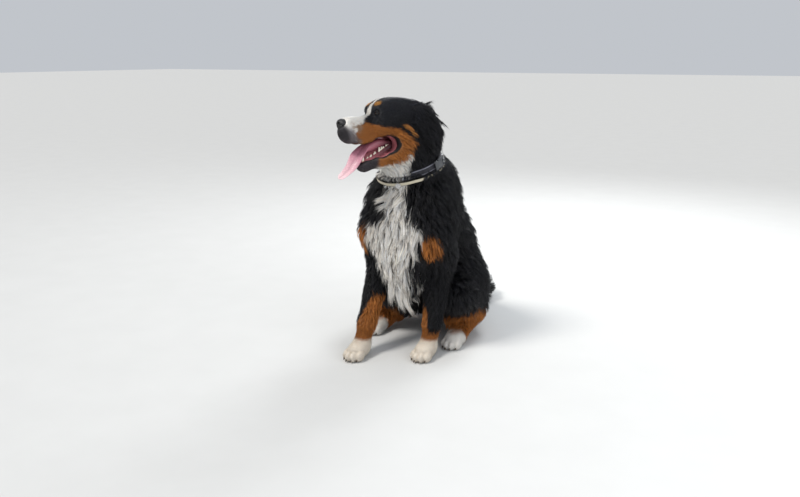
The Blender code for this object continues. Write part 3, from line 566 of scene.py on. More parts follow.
def skin_material():
    p = Paint("skin_under_hair")
    colour = p.node("ShaderNodeAttribute", attribute_name="Tint").outputs["Color"]
    g = p.noise(420.0, 3.0)
    shade = p.node("ShaderNodeMapRange", {"Value": g, "From Min": 0.3, "From Max": 0.7, "To Min": 0.70, "To Max": 1.05}).outputs["Result"]
    grey = p.node("ShaderNodeCombineColor", {"Red": shade, "Green": shade, "Blue": shade}).outputs["Color"]
    p.link(p.mix(1.0, colour, grey, "MULTIPLY"), "Base Color")
    p.bump(g, 0.5, 0.0012)
    p.set(Roughness=0.60, Specular_IOR_Level=0.35)
    return p.m


def wet_material(name, roughness, scale, strength, coat=0.5):
    p = Paint(name)
    colour = p.node("ShaderNodeAttribute", attribute_name="Tint").outputs["Color"]
    g = p.noise(scale, 4.0)
    blotch = p.noise(scale * 0.15, 3.0)
    shade = p.node("ShaderNodeMapRange", {"Value": blotch, "From Min": 0.3, "From Max": 0.7, "To Min": 0.78, "To Max": 1.12}).outputs["Result"]
    grey = p.node("ShaderNodeCombineColor", {"Red": shade, "Green": shade, "Blue": shade}).outputs["Color"]
    p.link(p.mix(1.0, colour, grey, "MULTIPLY"), "Base Color")
    p.bump(g, strength, 0.0006)
    p.set(Roughness=roughness, Specular_IOR_Level=0.5, Coat_Weight=coat, Coat_Roughness=0.12)
    return p.m


# ---- markings -------------------------------------------------------------
def within(shape, x, y):
    """Distance inside a closed outline, negative outside."""
    A = np.asarray(shape, float)
    B = np.roll(A, -1, 0)
    best, odd = np.full(len(x), 1e9), np.zeros(len(x), bool)
    for (ax, ay), (bx, by) in zip(A, B):
        ex, ey = bx - ax, by - ay
        t = np.clip(((x - ax) * ex + (y - ay) * ey) / max(ex * ex + ey * ey, 1e-12), 0, 1)
        best = np.minimum(best, np.hypot(x - ax - t * ex, y - ay - t * ey))
        if ay != by:
            cross = ((ay > y) != (by > y)) & (x < (bx - ax) * (y - ay) / (by - ay) + ax)
            odd ^= cross
    return np.where(odd, best, -best)


CHEEK = [(0.129, -0.034), (0.115, -0.036), (0.098, -0.029), (0.078, -0.032), (0.057, -0.040), (0.029, -0.043), (0.001, -0.049), (-0.020, -0.062), (-0.034, -0.074),
         (-0.049, -0.087), (-0.061, -0.097), (-0.048, -0.110), (-0.047, -0.128), (-0.036, -0.138), (-0.007, -0.153), (0.007, -0.163), (0.034, -0.160), (0.066, -0.164),
         (0.066, -0.12), (0.119, -0.085), (0.133, -0.064), (0.130, -0.049)]
CHEEK_SPOT = [(-0.008, -0.033), (-0.024, -0.034), (-0.040, -0.045), (-0.052, -0.062), (-0.050, -0.070), (-0.040, -0.064), (-0.026, -0.050), (-0.012, -0.042)]
BROW_SPOT = (0.0575, 0.034, 0.0345)
THROAT_WHITE = [(0.10, -0.165), (0.066, -0.160), (0.034, -0.158), (0.007, -0.161), (-0.007, -0.150), (-0.030, -0.135), (-0.036, -0.124), (-0.041, -0.118), (-0.048, -0.122),
                (-0.047, -0.140), (-0.042, -0.165), (-0.037, -0.200), (-0.034, -0.24), (0.12, -0.24)]


def wander(P, scale, seed):
    """A slow, smooth unevenness from -1 to 1."""
    a = P @ np.array([[0.9, 0.3, -0.4], [0.2, -0.8, 0.6], [0.5, 0.6, 0.7]]) * scale + seed
    return (np.sin(a[:, 0] * 6.1 + 2 * np.sin(a[:, 1] * 3.7)) + np.sin(a[:, 1] * 7.3 + 1.6 * np.sin(a[:, 2] * 4.9)) + np.sin(a[:, 2] * 5.3 + 1.8 * np.sin(a[:, 0] * 4.1))) / 3.0


def mixed(base, over, amount):
    return base + (over - base) * amount[:, None]


def markings(P, jitter=0.0):
    """The coat's colour at points near the skin."""
    n = len(P)
    rough = wander(P, 14.0, 0.3) * 0.0022 + (jitter * 0.0022 if not np.isscalar(jitter) else 0.0)
    broad = rough * 2.6
    C = np.tile(BLACK, (n, 1))
    Q = (P - HEAD_AT) @ HEAD
    f, l, u = Q.T
    a = np.abs(l)
    x, y, z = P.T
    # painted sheen: the black on the top of the head is made lighter and bluer, a painted highlight where the short
    # hair catches the light
    C = mixed(C, np.array((0.0150, 0.0155, 0.0215)), smooth(u, -0.060, 0.030) * (z > 0.70) * smooth(f, -0.110, -0.050))
    # chest, between the forelegs and up to the collars
    zs = [0.10, 0.15, 0.20, 0.24, 0.28, 0.32, 0.36, 0.40, 0.430, 0.445, 0.462, 0.48, 0.51, 0.54, 0.57, 0.60, 0.64, 0.68]
    left = [-0.006, -0.018, -0.032, -0.044, -0.055, -0.068, -0.086, -0.099, -0.106, -0.100, -0.040, 0.002, -0.002, -0.028, -0.028, -0.026, -0.044, -0.060]
    right = [0.042, 0.044, 0.046, 0.050, 0.056, 0.068, 0.090, 0.108, 0.115, 0.106, 0.084, 0.066, 0.056, 0.049, 0.047, 0.050, 0.060, 0.066]
    chest = np.minimum(x - np.interp(z, zs, left), np.interp(z, zs, right) - x)
    front = np.interp(z, [0.10, 0.22, 0.32, 0.40, 0.55, 0.66], [0.03, 0.03, -0.010, -0.040, -0.045, -0.045]) - y
    leg = (z < 0.30) & ((x > 0.070) | (x < -0.052)) & (y < 0.10)
    body = (z < 0.665) & (u < -0.155)
    w = smooth(np.minimum(chest, front) + broad, -0.005, 0.005) * (body & ~leg)
    patch_l = 1 - np.sqrt(((x - 0.139) / 0.033) ** 2 + ((y + 0.088) / 0.050) ** 2 + ((z - 0.378) / 0.043) ** 2)
    patch_r = 1 - np.sqrt(((x + 0.128) / 0.030) ** 2 + ((y + 0.088) / 0.050) ** 2 + ((z - 0.384) / 0.053) ** 2)
    t = smooth(np.maximum(patch_l, patch_r) * 0.03 + broad * 0.7, -0.003, 0.004) * body
    C = mixed(C, TAN, t)
    C = mixed(C, WHITE, w)
    stray = 0.011 - np.linalg.norm((P - np.array((0.072, -0.030, 0.238))) * np.array((1.0, 0.5, 0.6)), axis=1)
    C = mixed(C, WHITE, smooth(stray, -0.002, 0.004) * (y < 0.02) * (x > 0.052) * (x < 0.096) * (z < 0.262))
    # forelegs: black outside and behind, tan inside and in front, white feet
    for cx, cy0, cy1, s, top, slope, most in ((0.115, 0.030, -0.022, 1, 0.115, 5.0, 0.165), (-0.090, 0.004, -0.118, -1, 0.172, 2.2, 0.195)):
        ly = np.interp(z, [0.106, 0.315], [cy1, cy0])
        outer = (x - cx) * s
        m = (z < 0.30) & (np.abs(x - cx) < 0.064) & (y < ly + 0.075) & (y > ly - 0.20)
        rise = top - slope * (outer + 0.004) - 1.1 * np.maximum(y - ly, 0)
        rise = np.clip(rise, 0.082, most)
        C = mixed(C, TAN, smooth(rise - z + broad, -0.006, 0.006) * m)
        C = mixed(C, WHITE * np.array((1.0, 0.94, 0.86)), smooth(0.056 - z + 0.10 * np.maximum(ly - y, 0) + rough, -0.006, 0.006) * m)
    # hind legs: tan below the thigh, white feet
    hind = (z < 0.16) & (y > -0.02) & (y < 0.34) & (np.abs(x) > 0.085)
    reach = np.interp(y, [0.03, 0.12, 0.20, 0.30], [0.082, 0.100, 0.098, 0.070])
    C = mixed(C, TAN, smooth(reach - z + broad, -0.008, 0.008) * hind)
    C = mixed(C, WHITE, smooth(np.minimum(0.052 - z, 0.092 - y) + rough, -0.006, 0.006) * ((y > -0.03) & (np.abs(x) > 0.11)))
    # tail tip
    C = mixed(C, WHITE, smooth(y - 0.708 + broad, -0.006, 0.006))
    # head
    headish = (u > -0.245) & (z > 0.58)
    throat = within(THROAT_WHITE, f, u)
    C = mixed(C, WHITE, smooth(throat + rough, -0.003, 0.003) * (headish & (a < 0.115) & ((P - np.array(STRAP_MIDDLE)) @ unit((-STRAP_SLOPE[0], -STRAP_SLOPE[1], 1.0)) > -0.012)))
    cheek = within(CHEEK, f, u)
    mottle = wander(P, 48.0, 2.3) * 0.5 + wander(P, 95.0, 0.9) * 0.5
    forward = smooth(f, 0.080, 0.105)
    C = mixed(C, TAN, smooth(cheek + rough + forward * (0.0065 + 0.0075 * mottle), -0.002 - 0.004 * forward, 0.002 + 0.004 * forward) * (headish & (a > 0.012)))
    under = (a < 0.026) & (u < -0.140) & (f < 0.075) & (f > -0.055)
    C = mixed(C, WHITE, smooth(0.026 - a, 0, 0.008) * (headish & under))
    spot = within(CHEEK_SPOT, f, u)
    C = mixed(C, np.array((0.520, 0.215, 0.055)), smooth(spot + rough, -0.002, 0.002) * (headish & (a > 0.03)))
    brow = 0.0125 - np.sqrt((f - BROW_SPOT[0]) ** 2 + ((a - BROW_SPOT[1]) * 0.9) ** 2 + ((u - BROW_SPOT[2]) * 1.15) ** 2)
    C = mixed(C, np.array((0.500, 0.225, 0.045)), smooth(brow + rough * 0.6, -0.0015, 0.0015) * headish)
    half = np.interp(f, [-0.060, -0.042, -0.015, 0.02, 0.05, 0.066, 0.080, 0.100, 0.115, 0.20], [-0.004, 0.001, 0.0060, 0.0072, 0.0078, 0.0105, 0.0175, 0.030, 0.045, 0.06])
    edge = np.interp(u, [-0.060, -0.042, -0.033, -0.024, -0.009, 0.007, 0.021, 0.035, 0.060], [0.128, 0.119, 0.113, 0.106, 0.109, 0.098, 0.082, 0.078, 0.085])
    side = f - edge
    blaze = np.maximum(np.where(u > -0.02 - 0.0 * f, half - a, -0.01), side)
    blaze = np.where((f > 0.10) & (u > -0.045), np.maximum(blaze, half - a), blaze)
    blaze = blaze - 0.020 * smooth(cheek + 0.010 * mottle, -0.009, 0.004) * (f > 0.085) * (u < -0.028)
    C = mixed(C, WHITE, smooth(blaze + rough * 0.8, -0.0018 - 0.003 * forward, 0.0018 + 0.003 * forward) * (headish & (u > -0.10)))
    # painted shadow: the hair under and between the collars at the throat is darkened to near black, as the shade that
    # the collars cast
    low = -((P - np.array(STRAP_MIDDLE)) @ unit((-STRAP_SLOPE[0], -STRAP_SLOPE[1], 1.0)))
    C = mixed(C, BLACK * 1.3, smooth(low, 0.003, 0.007) * (1 - smooth(low, 0.0215, 0.0255)) * ((z > 0.57) & (np.linalg.norm(P - np.array(STRAP_MIDDLE), axis=1) < 0.16) & (u < -0.13)) * 0.95)
    # freckles and the dark front of the lip
    freckle = wander(P, 84.0, 1.7) + 0.8 * wander(P, 150.0, 4.2)
    there = smooth(f, 0.112, 0.122) * (1 - smooth(f, 0.140, 0.152)) * (u < -0.018) * headish * (a > 0.012) * smooth(-u, 0.018, 0.034)
    C = mixed(C, np.array((0.300, 0.160, 0.085)), smooth(freckle, 0.25, 0.95) * there * 0.75)
    speckled = smooth(f, 0.108, 0.122) * (1 - smooth(f, 0.142, 0.156)) * smooth(-u, 0.016, 0.030) * (a > 0.010) * headish
    C = mixed(C, np.array((0.360, 0.250, 0.170)), speckled * smooth(wander(P, 30.0, 5.1) + 0.5 * wander(P, 70.0, 1.2), -0.35, 0.55) * 0.75)
    lilac = np.array((0.165, 0.140, 0.160))
    C = mixed(C, lilac, smooth(f + 0.55 * (-u - 0.040), 0.138, 0.162) * smooth(-u, 0.032, 0.056) * headish * 0.80)
    dark = smooth(f + 0.35 * (-u - 0.040), 0.156, 0.172) * (u < -0.020)
    C = mixed(C, np.array((0.030, 0.026, 0.032)), dark * headish * 0.94)
    low = smooth(-u, 0.070, 0.088) * smooth(f, 0.112, 0.135)
    C = mixed(C, np.array((0.120, 0.100, 0.115)), low * headish * 0.60)
    C = mixed(C, np.array((0.012, 0.010, 0.012)), smooth(0.0058 - mouth_distance(P), 0, 0.004) * (headish & (f < 0.135) & (z > 0.6)) * 0.9)
    chin = (u < -0.128) & (f > 0.055)
    C = mixed(C, np.array((0.055, 0.045, 0.052)), smooth(f, 0.054, 0.070) * chin * headish)
    return C


# ---- the skin -------------------------------------------------------------
dog = Figure()
trunk_and_limbs(dog)
skull_and_jaws(dog)
ears(dog)
mouth(dog)
sockets(dog)

FINE = 0.0021
REST = 0.0055
axes = [graded((-0.235, REST), (-0.130, FINE), (0.125, REST), (0.240, REST)),
        graded((-0.300, FINE), (0.040, REST), (0.800, REST)),
        graded((-0.012, REST * 0.6), (0.075, REST), (0.640, FINE), (0.885, FINE))]
D = dog.lattice(axes)
floor_cut = -(axes[2] - 0.0)[None, None, :]
D = np.maximum(D, floor_cut.astype(np.float32))
V, F = surface(axes, D)
for turn in range(2):
    d = dog.read(V, False)
    free = V[:, 2] > 0.0015
    V = V - np.where(free, np.clip(d, -0.002, 0.002), 0)[:, None] * dog.slope(V)
V[:, 2] = np.maximum(V[:, 2], 0.0002)
del D

# keep the one body that matters
Nv = len(V)
label = np.arange(Nv)
for turn in range(400):
    low = label[F].min(1)
    new = label.copy()
    np.minimum.at(new, F.ravel(), np.repeat(low, 4))
    new = new[new]
    if (new == label).all():
        break
    label = new
main = np.bincount(label).argmax()
keep = label == main
F = F[keep[F[:, 0]]]
order = np.cumsum(keep) - 1
V, F = V[keep], order[F]

normals = dog.slope(V)
depth0, T = dog.read(V)
gape = mouth_distance(V)
Qv = (V - HEAD_AT) @ HEAD
colour = markings(V)


def lip_width(Q):
    """How far the bare lip reaches from the open mouth."""
    corner = smooth(-Q[:, 0], -0.030, 0.006)
    upper = Q[:, 2] > -0.098 - 0.25 * (Q[:, 0] - 0.03)
    return np.where(upper, 0.0040, 0.0062) + 0.0012 * corner


in_head = (Qv[:, 0] > -0.06) & (Qv[:, 2] > -0.19) & (np.abs(Qv[:, 1]) < 0.09) & (V[:, 2] > 0.60)
lip = in_head & (gape < lip_width(Qv))
inside = in_head & (gape < 0.0016) & (np.abs(Qv[:, 1]) < np.interp(Qv[:, 0], [-0.02, 0.03, 0.07, 0.12, 0.17], [0.062, 0.0535, 0.041, 0.031, 0.020]))
core = np.full(len(V), 0.1)
for s in (1, -1):
    for a_, b_ in zip(ROW, ROW[1:]):
        core = np.minimum(core, Limb((a_[0], s * a_[1], a_[2]), (b_[0], s * b_[1], b_[2]), 0.0075, 0.0080).distance(Qv))
gum = in_head & (core < 0.0022)
# painted shade among the roots: the skin under the hair takes the coat's colour darkened to 0.60 of it, and only to
# 0.96 under pale hair
C = colour * np.where(colour.min(1) > 0.3, 0.96, 0.60)[:, None]
C[lip] = LIP
# the mouth's lining: pink flesh near the corners of the mouth, going over to a dark painted shade towards the front,
# inside the mouth under the lips
flesh = np.array((0.46, 0.150, 0.170))
mouth_shade = np.array((0.075, 0.016, 0.020))
back = smooth(Qv[:, 0], -0.01, 0.11)[:, None]
C[inside] = (mouth_shade + (flesh - mouth_shade) * (0.35 + 0.65 * (1 - back)))[inside]
C[gum] = (np.array((0.34, 0.105, 0.120)) + (np.array((0.060, 0.022, 0.028)) - np.array((0.34, 0.105, 0.120))) * smooth(np.abs(Qv[:, 1]), 0.026, 0.038)[:, None])[gum]
wet = lip | inside | gum

skin = mesh_of("skin", V, F, colour=C)
lining = wet_material("mouth_lining", 0.50, 900.0, 0.45, 0.06)
lining.node_tree.nodes["Principled BSDF"].inputs["Specular IOR Level"].default_value = 0.22
worn(skin, "coat", skin_material(), lining)
skin.data.polygons.foreach_set("material_index", (wet[F].mean(1) > 0.5).astype(np.int32))
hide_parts("head", "lower_jaw", "ear_l", "ear_r", "neck", "chest", "abdomen", "rump", "tail_root", "tail_tip", "upper_arm_l", "upper_arm_r",
            "forearm_l", "forearm_r", "forepaw_l", "forepaw_r", "thigh_l", "thigh_r", "shank_l", "shank_r", "hindfoot_l", "hindfoot_r")

# ---- an unwrap of the skin's own shape, which the coat's map is read from --
COARSE = 0.016
axc = [even(-0.24, 0.245, COARSE), even(-0.31, 0.80, COARSE * 1.0), even(-0.02, 0.89, COARSE)]
Vc, Fc = surface(axc, dog.lattice(axc))
plan = mesh_of("plan", Vc, Fc, shift=False)
bpy.context.view_layer.objects.active = plan
for o in bpy.context.selected_objects:
    o.select_set(False)
plan.select_set(True)
bpy.ops.object.mode_set(mode="EDIT")
bpy.ops.mesh.select_all(action="SELECT")
bpy.ops.mesh.quads_convert_to_tris()
bpy.ops.uv.smart_project(angle_limit=radians(72), island_margin=0.006, area_weight=0.3)
bpy.ops.object.mode_set(mode="OBJECT")
m = plan.data
tri = np.empty(len(m.loops), np.int32)
m.loops.foreach_get("vertex_index", tri)
tri = tri.reshape(-1, 3)
uvs = np.empty(len(m.loops) * 2, np.float32)
m.uv_layers[0].data.foreach_get("uv", uvs)
plan_uv = uvs.reshape(-1, 3, 2).astype(float)
plan_V = np.empty(len(m.vertices) * 3, np.float32)
m.vertices.foreach_get("co", plan_V)
plan_V = plan_V.reshape(-1, 3).astype(float)
plan_tree = BVHTree.FromPolygons([Vector(v) for v in plan_V], [tuple(int(i) for i in t) for t in tri])
bpy.data.objects.remove(plan)


def place_on_plan(P):
    """Where points of the skin lie on the unwrap."""
    near, which = np.empty((len(P), 3)), np.empty(len(P), int)
    for i, p in enumerate(P):
        q, _, k, _ = plan_tree.find_nearest(p)
        near[i], which[i] = q, k
    A, B, Cc = (plan_V[tri[which, k]] for k in range(3))
    v0, v1, v2 = B - A, Cc - A, near - A
    d00, d01, d11 = (v0 * v0).sum(1), (v0 * v1).sum(1), (v1 * v1).sum(1)
    d20, d21 = (v2 * v0).sum(1), (v2 * v1).sum(1)
    den = np.maximum(d00 * d11 - d01 * d01, 1e-18)
    b, c = (d11 * d20 - d01 * d21) / den, (d00 * d21 - d01 * d20) / den
    U = plan_uv[which]
    return U[:, 0] + b[:, None] * (U[:, 1] - U[:, 0]) + c[:, None] * (U[:, 2] - U[:, 0])


# ---- the collars' loops ---------------------------------------------------
bare = Figure()
trunk_and_limbs(bare)
skull_and_jaws(bare)


class Loop:
    """A ring round the neck in a sloping plane, lying this far off the skin."""

    def __init__(self, middle, slopes, seat, most):
        self.c = np.asarray(middle, float)
        self.n = unit((-slopes[0], -slopes[1], 1.0))
        self.x = unit(np.cross((0, 1, 0), self.n))
        self.y = np.cross(self.n, self.x)
        a = np.arange(LOOP_STEPS) * 2 * pi / LOOP_STEPS
        Dn = self.x * np.cos(a)[:, None] + self.y * np.sin(a)[:, None]
        r = np.full(LOOP_STEPS, 0.05)
        for turn in range(60):
            e = bare.read(self.c + Dn * r[:, None], False) - seat
            r = np.clip(r - np.clip(e, -0.01, 0.01) * 0.7, 0.03, most)
        waves = np.fft.rfft(r)
        waves[5:] = 0
        self.waves = waves

    def radius(self, degrees):
        a = np.radians(degrees)
        k = np.arange(len(self.waves))
        c = self.waves / LOOP_STEPS
        return c[0].real + 2 * (c[1:, None].real * np.cos(np.outer(k[1:], a)) - c[1:, None].imag * np.sin(np.outer(k[1:], a))).sum(0)

    def at(self, degrees, out=0.0, along=0.0):
        d = np.atleast_1d(np.asarray(degrees, float))
        a = np.radians(d)
        return self.c + (self.x * np.cos(a)[:, None] + self.y * np.sin(a)[:, None]) * (self.radius(d) + out)[:, None] + self.n * np.reshape(along, (-1, 1))

    def frame(self, degrees):
        t = unit(self.at(degrees + 3)[0] - self.at(degrees - 3)[0])
        return np.stack([t, self.n, unit(np.cross(t, self.n))], 1)

    def over(self, degrees, out, along=0.0):
        return self.at(degrees, 0.0, along)[0] + self.frame(degrees)[:, 2] * out

    def coordinates(self, P):
        """Angle, distance out from the loop's inner face and height over its middle plane."""
        q = P - self.c
        h = q @ self.n
        px, py = q @ self.x, q @ self.y
        d = np.degrees(np.arctan2(py, px))
        return d, np.hypot(px, py) - self.radius(d), h


strap_loop = Loop(STRAP_MIDDLE, STRAP_SLOPE, STRAP_SEAT, 0.108)
band_loop = Loop(BAND_MIDDLE, BAND_SLOPE, BAND_SEAT, 0.118)


def ended(path, root):
    """What hangs down the throat ends on the strap, so that the strap's lower part shows, and what grows under the strap stays short."""
    half, steps = STRAP_WIDTH / 2, len(path) - 1
    chance = np.modf(np.abs(root[:, 0] * 7919.0 + root[:, 2] * 4211.0))[0]
    d, _, h = strap_loop.coordinates(root)
    low = half * 0.30 - 0.0045 * chance
    H = (path - strap_loop.c) @ strap_loop.n
    close = np.linalg.norm(root - strap_loop.c, axis=1) < 0.2
    over = (h > half * 0.9) & (d > -178.0) & (d < -68.0) & (H.min(0) < low)
    under = (h < half * 0.9) & (h > -half - 0.0125) & (d < -50)
    for i in np.nonzero(close & (over | under))[0]:
        if under[i]:
            stop = steps * (0.34 + 0.14 * chance[i])
        else:
            k = max(1, int(np.argmax(H[:, i] < low[i])))
            stop = k - 1 + np.clip((H[k - 1, i] - low[i]) / max(H[k - 1, i] - H[k, i], 1e-6), 0.05, 1)
        at = np.linspace(0, 1, steps + 1) * stop
        path[:, i] = np.stack([np.interp(at, np.arange(steps + 1), path[:, i, c]) for c in range(3)], 1)
    return path


def pressed(P, root):
    """Hair that meets a collar goes in under it, or over it where it hangs down the throat or the nape, and stands up beside it."""
    chance = np.modf(np.abs(root[:, 0] * 9173.0 + root[:, 2] * 6151.0))[0]
    for loop, half, thick, near, far, share, stop in ((strap_loop, STRAP_WIDTH / 2, STRAP_THICK, -178.0, -70.0, 1.01, True), (band_loop, BAND_WIDTH / 2, BAND_THICK, -44.0, 234.0, 0.95, False)):
        up_to, down_to = half + 0.016, half + 0.016
        side = (P - loop.c) @ loop.n
        m = np.nonzero((side < up_to) & (side > -down_to) & (np.linalg.norm(P - loop.c, axis=1) < 0.20))[0]
        if not len(m):
            continue
        d, out, h = loop.coordinates(P[m])
        rd, _, rh = loop.coordinates(root[m])
        turn = rd if stop else np.where(rd < -150, rd + 360, rd)
        above = (rh > half * (0.9 if stop else -0.3)) & (turn > near) & (turn < far) & (chance[m] < share)
        a = np.radians(d)
        R = loop.x * np.cos(a)[:, None] + loop.y * np.sin(a)[:, None]
        k = smooth(half + 0.0075 - np.abs(h), 0.0, 0.005)
        if stop:
            front = (turn > near - 10) & (turn < far + 12)
            k = np.maximum(k, smooth(half + 0.0120 + h, 0.0, 0.003) * (h < 0) * front)
        most = -0.0012 + (1 - k) * 0.014
        inward = np.maximum(out - most, 0) * (np.abs(out) < 0.06) * ~above * (h < half + 0.008) * (h > -half - (np.where(front, 0.013, 0.008) if stop else 0.008))
        over = (thick + 0.0014) * smooth(half + 0.005 - np.abs(h), 0.0, 0.004)
        beside = (thick + 0.001) * chance[m] * smooth(np.abs(h), half + 0.003, half + 0.006) * (np.abs(h) < half + 0.014) * (1 - stop * (h < 0))
        least = np.where(above, over, np.where(np.abs(h) > half + 0.003, beside, -1.0))
        outward = np.maximum(least - out, 0) * (np.abs(out) < 0.03) * (least > 0)
        P[m] += R * (outward - inward)[:, None]
    return P


# ---- the coat -------------------------------------------------------------
area = 0.5 * np.linalg.norm(np.cross(V[F[:, 2]] - V[F[:, 0]], V[F[:, 3]] - V[F[:, 1]]), axis=1)
middle = V[F].mean(1)
depth = T[F, 0].mean(1)
bald = wet[F].mean(1) > 0.3
eye_near = np.full(len(F), 1.0)
for s in (1, -1):
    at = head((EYE_AT[0], s * EYE_AT[1], EYE_AT[2]))
    gap = middle - at
    tall_ = gap @ unit(HEAD[:, 2] - (HEAD[:, 2] @ LOOK[s]) * LOOK[s])
    eye_near = np.minimum(eye_near, np.sqrt((gap ** 2).sum(1) + 0.75 * tall_ ** 2))
nose_near = np.linalg.norm(((middle - head((0.165, 0, -0.0305))) @ HEAD) / np.array((0.0215, 0.0245, 0.0175)), axis=1)
facing_down = (middle[:, 2] < 0.0030)
bald |= (eye_near < EYE_RADIUS + 0.0012) | (nose_near < 1.0) | facing_down
hidden = dog.read(middle + normals[F[:, 0]] * 0.006, False) < 0.001
bald |= hidden & (depth < 0.012)


def taken(weight, count, rng):
    """Roots spread over the skin: face and place in it."""
    total = np.cumsum(weight * area * ~bald)
    pick = (np.arange(count) + rng.random(count)) / count * total[-1]
    i = np.minimum(np.searchsorted(total, pick), len(F) - 1)
    a, b = rng.random(count), rng.random(count)
    W = np.stack([(1 - a) * (1 - b), a * (1 - b), a * b, (1 - a) * b], 1)
    return i, W


def spread(values, i, W):
    return (values[F[i]] * W[..., None]).sum(1)


def combed(P, N, tr, L, high, swirl, steps):
    """Paths that leave the skin, lean over the way the hair lies and settle at their height above it."""
    path, normal = np.zeros((steps + 1, len(P), 3)), np.zeros((steps + 1, len(P), 3))
    path[0], normal[0] = P - N * 0.0012, N
    here, n, lie, cling = P.copy(), N.copy(), tr[:, 1:4], tr[:, 5]
    for k in range(1, steps + 1):
        g = rows_unit(rows_unit(lie) + swirl)
        dot = (g * n).sum(1)
        g = rows_unit(g - n * (dot * np.where(dot > 0, np.clip(0.1 + cling, 0, 0.97), 0.97))[:, None])
        here = here + g * (L / steps)[:, None]
        want = high * (1 - (1 - k / steps) ** 1.9)
        if steps > 1:
            n = dog.slope(here)
        dd, tt = dog.read(here)
        off = want - dd
        here = here + n * (off * np.where(off > 0, 1.0, tt[:, 5] * 0.9))[:, None]
        lie, cling = tt[:, 1:4], tt[:, 5]
        path[k], normal[k] = here, n
    return path, normal


def hair_length(tr):
    return (2.0 * tr[:, 0] + 0.004) * tr[:, 6]


def short_coat(count, lo, hi, seed):
    """Hair that lies flat, each tuft on its own."""
    rng = np.random.default_rng(seed)
    c = depth
    weight = np.where((c >= lo) & (c < hi) & (longer < 1.3), 1.0 / ((1.5 * c + 0.0035) * (0.0012 + 0.06 * c)), 0.0)
    i, W = taken(weight, count, rng)
    P, N, tr = spread(V, i, W), rows_unit(spread(normals, i, W)), spread(T, i, W)
    c = tr[:, 0]
    L = (1.5 * c + 0.0035) * np.minimum(tr[:, 6], 1) * rng.uniform(0.75, 1.2, count)
    high = c * (0.35 + 0.55 * rng.random(count) ** 0.8)
    path, _ = combed(P, N, tr, L, high, rng.normal(0, 0.09, (count, 3)), 1)
    path[1:, :, 2] = np.maximum(path[1:, :, 2], 0.0022)
    path = ended(path, P)
    path[1] = pressed(path[1], P)
    return dict(path=path, N=N, root=P, L=L, W=(0.0012 + 0.06 * c) * rng.uniform(0.8, 1.2, count), steps=1, rng=rng, group=np.arange(count), at=0.6)


